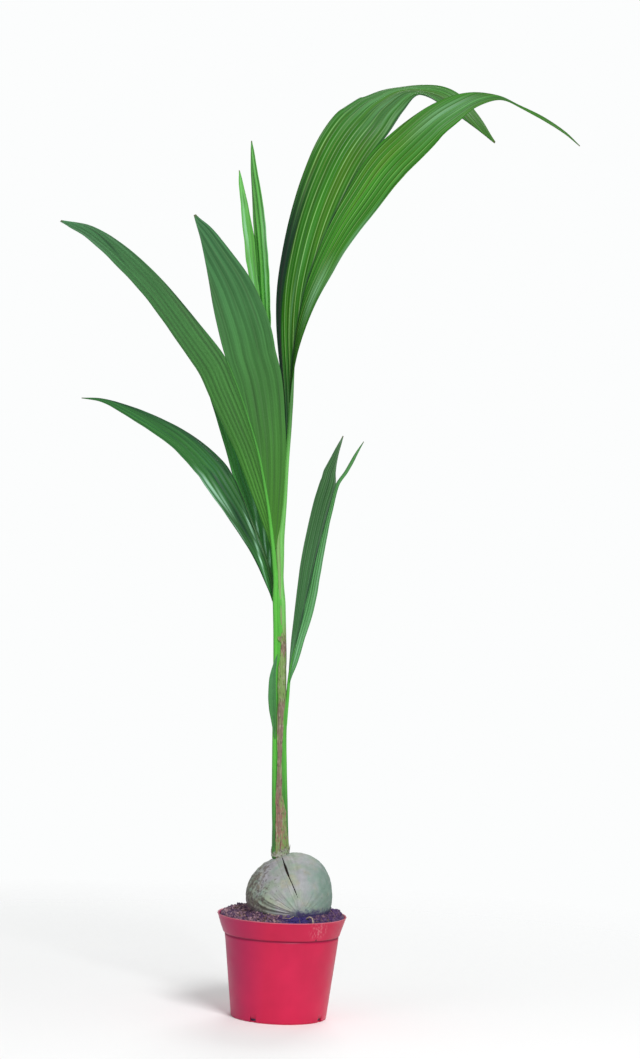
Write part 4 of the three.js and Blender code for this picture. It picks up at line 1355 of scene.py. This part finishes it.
def strip_shell():
    """The brown sheath: a thin curved strip round the trunk's front between its two edges, which wave a
    little and lift off at their rims. Its top is torn along a slant."""
    rows, columns = 220, 40
    share = np.linspace(0, 1, rows)[:, None]
    across = np.linspace(0, 1, columns)[None]
    top = STRIP_TOP - 10 * np.abs(across - 0.7) - 4 * ripple(across * 1.7, SEED + 6)
    height = STRIP_HEIGHTS[0] + share * (top - STRIP_HEIGHTS[0])
    left = np.interp(height, STRIP_HEIGHTS, STRIP_LEFT) + 3 * ripple(height / 90, SEED + 7)
    right = np.interp(height, STRIP_HEIGHTS, STRIP_RIGHT) + 3 * ripple(height / 70, SEED + 8)
    angle = np.radians(left + (right - left) * across - 90)
    x, y, radius = trunk_axis(height)
    rim = np.abs(2 * across - 1)
    lift = 0.35 + 0.4 * rim ** 6 + 0.15 * ripple(across * 4 + height / 300, SEED + 9)
    out = np.stack([np.cos(angle), np.sin(angle), 0 * angle], -1)
    centre = np.stack([x, y, height], -1)
    outer = centre + out * (radius + lift)[..., None]
    inner = centre + out * (radius + lift - STRIP_THICKNESS)[..., None]
    # The map's places are quarter turns round the trunk and decimetres up it
    u = there_and_back(angle) * np.degrees(1) / 90
    v = there_and_back(height) / 100
    living = 0.45 * eased(310, 250, height) + 0.9 * eased(452, 470, height) * (1 - eased(520, 540, height))
    living = living + 0.5 * eased(0.7, 1, rim) + 0.45 * eased(0.3, 0.6, across) * eased(340, 310, height)
    living = living + 0.4 * eased(540, 552, height)
    pink = 0.9 * hump(300, 60, height) + 0.55 * eased(290, 250, height)
    pink = pink * (1 - 0.4 * eased(0.3, 0.6, across))
    # Painted shade along the right edge, from about 450 mm up
    dark = hump(0.93, 0.1, across) * eased(450, 480, height)
    values = {"living": living, "pink": pink, "dark": dark}
    values = {name: two_faces(value, value) for name, value in values.items()}
    return grid_shell(two_faces(outer, inner), u, v, **values)


def collar_shells():
    """Torn scales round the shoot's foot: flat tapering tongues that stand up from the husk and lean
    outward, worn down to stubs at the front left"""
    random = np.random.default_rng(SEED + 10)
    shells = []
    up = np.linspace(0, 1, 12)[:, None]
    side = np.linspace(-1, 1, 9)[None]
    x, y, radius = trunk_axis(np.array([SCALE_FOOT + 5.0]))
    for turn in angles(SCALES) + random.uniform(-0.12, 0.12, SCALES):
        tall, wide = random.uniform(9, 17), random.uniform(5, 9)
        tall = tall * (1 - 0.75 * float(hump(np.radians(210), 0.7, turn)))
        lean = radius[0] + 0.5 + random.uniform(0.2, 1) * up ** 2 + 0 * side
        angle = turn + side * wide / radius[0] * (1 - up ** 1.5 * 0.85) / 2
        rise = SCALE_FOOT + tall * up * (1 + 0.25 * ripple(side, int(turn * 100)))
        faces = [
            np.stack([x + out * np.cos(angle), y + out * np.sin(angle), rise], -1)
            for out in (lean, lean - SCALE_THICKNESS)
        ]
        across, along = np.meshgrid(np.linspace(0, 1, 19), up[:, 0])
        shells.append(grid_shell(two_faces(*faces), across, along))
    return shells


def stalk_shell(leaf):
    """A leaf's stalk and rib: one tapering tube on its midline, dulled to the blade's green up the rib"""
    line = Line(leaf["midline"])
    radii = [(run / line.length, radius) for run, radius in leaf["radii"]]
    radii[-1] = (0.97, radii[-1][1])
    radii.append((1, 0.3))
    shift = [(run / line.length, x, y) for run, x, y in leaf["shift"]]
    steps = 300
    way = np.linspace(0, 1, steps)[:, None]
    rib = leaf["halves"][0]["start"] / line.length
    dull = from_table(leaf["dull"], way[:, 0])
    values = {"dull": dull, "pale": leaf["pale"] * (1 - eased(rib, 1, way)), "straw": 0.0}
    return tube(line, radii, 20, steps, shift=shift, tuck=STALK_TUCK, **values)


def half_blade_shell(leaf, half, settings, seed):
    """One half blade. A row of it runs outward from an inner to an outer edge, both measured from the
    line of the rib and the free edge beyond the notch. The veins are numbered from the outer edge; their
    number falls with the width, so new ones leave the rib as the blade widens. A ridge stands at each
    whole number and a valley between, their depth a share of their spacing. A turned margin bends back
    beyond its share of the width, and the outer edge waves."""
    line = Line(leaf["midline"] + half["tail"])
    start = half["start"] / line.length
    rows, columns = BLADE_ROWS, COLUMNS_TO_A_VEIN * half["veins"] + 1
    way = np.linspace(0, 1, rows) ** 0.9
    share = way[:, None]
    across = np.linspace(0, 1, columns)[None]
    origin = line.point(start + (1 - start) * way)
    slope = line.slope(start + (1 - start) * way)
    outward = from_table(half["outward"], way)
    outward = unit(outward - slope * (slope * outward).sum(-1, keepdims=True))
    face = np.cross(slope, outward) * half["upper"]
    inner, outer = from_table(half["edges"], way).T[..., None]
    width = np.maximum(outer - inner, END_WIDTH)
    spread = (width / width.max()) ** VEIN_SPREAD
    number = (1 - across) * half["veins"] * spread
    spacing = width / (half["veins"] * spread)
    notch = (Line(leaf["midline"]).length / line.length - start) / (1 - start)
    at_rib = 1 - eased(notch - 0.02, notch + 0.02, share)
    from_rib = across * width
    from_edge = (1 - across) * width
    zigzag = np.arcsin(PLEAT_SHARPNESS * np.cos(2 * np.pi * number)) / (2 * np.arcsin(PLEAT_SHARPNESS))
    ridge = np.exp(-((number - np.round(number)) / RIDGE_WIDTH) ** 2)
    calm = eased(0, 5, from_rib) * eased(0, 3, from_edge)
    lift = zigzag * spacing * settings.pleat_depth * half.get("pleats", 1) * calm
    lift = lift + RIDGE_HEIGHT * ridge * eased(0, 30, width)
    lift = lift + settings.ripple / MM * across ** 2 * ripple(share * 2.3, seed) * eased(0, 40, width)
    margin = half.get("turned", 0)
    beyond = np.clip(across - (1 - margin), 0, 1) * width
    turned = eased(0.02, 0.15, share) * (1 - eased(0.38, 0.6, share))
    lift = lift - MARGIN_BEND * beyond * turned
    middle = origin[:, None] + outward[:, None] * (inner + from_rib)[..., None]
    middle = middle + face[:, None] * lift[..., None]
    thick = face[:, None] * (settings.sheet / MM / 2 * eased(-0.3, 0.3, 1 - across)[..., None])
    u = there_and_back(number)
    v = np.repeat(share * line.length * (1 - start) / 100, u.shape[1], 1)
    # Painted shade on the turned margin, in the crease along the rib and at the free edge
    shade = 0.85 * turned * eased(0, 2.5, beyond)
    crease = 0.75 * at_rib * (1 - eased(0.5, 3.5, from_rib)) * (0.7 + 0.3 * ripple(share * 7, seed))
    free_edge = 0.55 * (1 - eased(0.3, 1, across / half.get("shaded", 0.01))) * (1 - at_rib)
    shade = np.maximum(np.maximum(shade, crease), free_edge)
    # Patches of painted highlight, and of painted shade where the amount is below 0
    bloom, dark = 0 * across, 0 * across
    for middle_way, middle_across, long, wide, amount, *lean in half.get("highlight_and_shade", []):
        leant = across - sum(lean) * (share - middle_way)
        patch = abs(amount) * hump(middle_way, long, share) * hump(middle_across, wide, leant)
        if amount > 0:
            bloom = np.maximum(bloom, patch)
        else:
            dark = np.maximum(dark, patch)
    light = from_table(half.get("light", [(0, 1), (1, 1)]), way)
    inside = eased(0.3, 2, from_rib) * eased(0.3, 2.5, from_edge) * (1 - 0.6 * eased(0.45, 0.75, share))
    dry = eased(1 - DRY_TIP / (line.length * (1 - start)), 1, share)
    # Each value on the upper face and on the under face
    faces = {
        "shade": (np.maximum(shade, dark), np.maximum(0.3 * shade, dark)),
        "bloom": (bloom, bloom),
        "light": (light, light),
        "inside": (inside, inside),
        "dry": (dry, dry),
        "way": (share, share),
        "upper": (1, 0),
    }
    values = {
        name: two_faces(*(np.broadcast_to(value, (rows, columns)) for value in pair))
        for name, pair in faces.items()
    }
    return grid_shell(two_faces(middle + thick, middle - thick), u, v, **values)


# Operators


class PALM_OT_stage(bpy.types.Operator):
    """Adds the floor, the lights and the camera"""

    bl_idname = "palm.stage"
    bl_label = "Stage"

    def execute(self, context):
        settings = context.scene.palm_stage
        self.floor(settings.floor)
        self.sky(context.scene, settings.sky)
        self.light("key_light", (1.3, -3.2, 3.2), (0, 0, 0.6), 1.5, settings.key)
        self.light("fill_light", (-2.6, -2.8, 1.4), (0, 0, 0.7), 2, settings.key * 0.12)
        self.light("rim_light", (0.6, 3, 2.6), (0, 0, 0.8), 1.8, settings.key * 0.3)
        camera = bpy.data.cameras.new("camera")
        camera.lens = settings.lens
        camera.clip_end = 100
        holder = bpy.data.objects.new("camera", camera)
        holder.location = CAMERA_PLACE
        holder.rotation_euler = np.radians((90, CAMERA_ROLL, 0))
        context.scene.collection.objects.link(holder)
        context.scene.camera = holder
        context.scene.view_settings.view_transform = "Standard"
        return {"FINISHED"}

    def floor(self, colour):
        """A disc that fades into the background at its edge"""
        mesh = bpy.data.meshes.new("floor")
        corners = carried_round(FLOOR_RADIUS, 0, angles(64))
        mesh.from_pydata(corners.tolist(), [], [list(range(len(corners)))])
        mesh.materials.append(matt_floor(colour))
        floor = bpy.data.objects.new("floor", mesh)
        bpy.context.scene.collection.objects.link(floor)

    def sky(self, scene, strength):
        """Even light from all round, with a paler backdrop where the camera sees it"""
        world = bpy.data.worlds.new("studio")
        scene.world = world
        world.use_nodes = True
        tree = world.node_tree
        background = tree.nodes["Background"].inputs
        seen = add(tree, "LightPath", {}, give="Is Camera Ray")
        tree.links.new(add(tree, "MapRange", {}, seen, None, None, strength, 1.0), background["Strength"])
        background["Color"].default_value = opaque("#fcfdfd")

    def light(self, name, place, target, size, power):
        """A square area light that faces a target"""
        lamp = bpy.data.lights.new(name, "AREA")
        lamp.size = size
        lamp.energy = power
        holder = bpy.data.objects.new(name, lamp)
        holder.location = place
        holder.rotation_euler = (Vector(target) - Vector(place)).to_track_quat("-Z", "Y").to_euler()
        bpy.context.scene.collection.objects.link(holder)


class PALM_OT_pot(bpy.types.Operator):
    """Adds the moulded pot"""

    bl_idname = "palm.pot"
    bl_label = "Pot"

    def execute(self, context):
        settings = context.scene.palm_pot
        material = moulded_polypropylene(tuple(settings.colour))
        make_piece("moulded_pot", pot_shells(settings.wall / MM), material, ["pot"])
        return {"FINISHED"}


class PALM_OT_compost(bpy.types.Operator):
    """Adds the compost with its crumbs, fibres and roots"""

    bl_idname = "palm.compost"
    bl_label = "Compost"

    def execute(self, context):
        settings = context.scene.palm_compost
        dark, light = tuple(settings.dark), tuple(settings.light)
        make_piece("compost", [compost_shell()], damp_compost(dark, light), ["potting_soil"])
        make_piece("compost_crumbs", crumb_shells(settings.crumbs), compost_crumb(dark, light))
        fibres = dry_root("coir_fibre", "#94765f")
        make_piece("compost_fibres", fibre_shells(settings.fibres), fibres)
        make_piece("pale_roots", root_shells(), dry_root("pale_root", "#c9b7a6"))
        return {"FINISHED"}


class PALM_OT_coconut(bpy.types.Operator):
    """Adds the coconut in its husk"""

    bl_idname = "palm.coconut"
    bl_label = "Coconut"

    def execute(self, context):
        settings = context.scene.palm_nut
        husk = weathered_husk(tuple(settings.husk), tuple(settings.bare))
        shell = nut_shell(settings.fibre_depth, settings.crack_width)
        make_piece("coconut_husk", [shell], husk, ["coconut"])
        make_piece("papery_collar", collar_shells(), papery_scale())
        return {"FINISHED"}


class PALM_OT_trunk(bpy.types.Operator):
    """Adds the trunk's rolled sheaths and the stalks with their ribs"""

    bl_idname = "palm.trunk"
    bl_label = "Trunk and stalks"

    def execute(self, context):
        settings = context.scene.palm_trunk
        living = living_sheath(tuple(settings.living))
        make_piece("rolled_sheaths", sheath_shells(), living, ["trunk"])
        dry = fibrous_sheath(tuple(settings.dry))
        make_piece("fibrous_sheath", [strip_shell()], dry)
        for name, leaf in LEAVES.items():
            make_piece(name + "_stalk_and_rib", [stalk_shell(leaf)], living, [name + "_stalk"])
        return {"FINISHED"}


class PALM_OT_leaves(bpy.types.Operator):
    """Adds the half blades of every leaf"""

    bl_idname = "palm.leaves"
    bl_label = "Leaves"

    def execute(self, context):
        settings = context.scene.palm_leaf
        seed = SEED
        for name, leaf in LEAVES.items():
            material = self.material(name)
            for half in leaf["halves"]:
                seed += 1
                shell = half_blade_shell(leaf, half, settings, seed)
                make_piece(f"{name}_{half['name']}_blade", [shell], material, half["nodes"])
        shells = [half_blade_shell(FIRST_LEAF, half, settings, seed) for half in FIRST_LEAF["halves"]]
        make_piece("first_leaf_blade", shells, self.material("first_leaf"), ["first_leaf"])
        return {"FINISHED"}

    def material(self, name):
        """The blade material of a leaf"""
        return palm_blade(name, *LEAF_GREENS[name])


class PALM_PT_panel(bpy.types.Panel):
    """Lists the palm's pieces and their settings"""

    bl_label = "Potted coconut palm"
    bl_idname = "PALM_PT_panel"
    bl_space_type = "VIEW_3D"
    bl_region_type = "UI"
    bl_category = "Palm"

    def draw(self, context):
        for operator, (name, _) in zip(OPERATORS, SETTINGS):
            box = self.layout.box()
            group = getattr(context.scene, name)
            for key in group.bl_rna.properties.keys():
                if key not in ("rna_type", "name"):
                    box.prop(group, key)
            box.operator(operator.bl_idname)


OPERATORS = (PALM_OT_stage, PALM_OT_pot, PALM_OT_compost, PALM_OT_coconut, PALM_OT_trunk, PALM_OT_leaves)
SETTINGS = (
    ("palm_stage", StageSettings),
    ("palm_pot", PotSettings),
    ("palm_compost", CompostSettings),
    ("palm_nut", NutSettings),
    ("palm_trunk", TrunkSettings),
    ("palm_leaf", LeafSettings),
)


def register():
    """Registers the settings, the operators and the panel"""
    for name, group in SETTINGS:
        bpy.utils.register_class(group)
        setattr(bpy.types.Scene, name, bpy.props.PointerProperty(type=group))
    for made in (*OPERATORS, PALM_PT_panel):
        bpy.utils.register_class(made)


def unregister():
    """Takes them away again"""
    for made in (PALM_PT_panel, *reversed(OPERATORS)):
        bpy.utils.unregister_class(made)
    for name, group in reversed(SETTINGS):
        delattr(bpy.types.Scene, name)
        bpy.utils.unregister_class(group)


def main():
    """Registers the add-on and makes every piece"""
    register()
    bpy.ops.palm.stage()
    bpy.ops.palm.pot()
    bpy.ops.palm.compost()
    bpy.ops.palm.coconut()
    bpy.ops.palm.trunk()
    bpy.ops.palm.leaves()


if __name__ == "__main__":
    main()
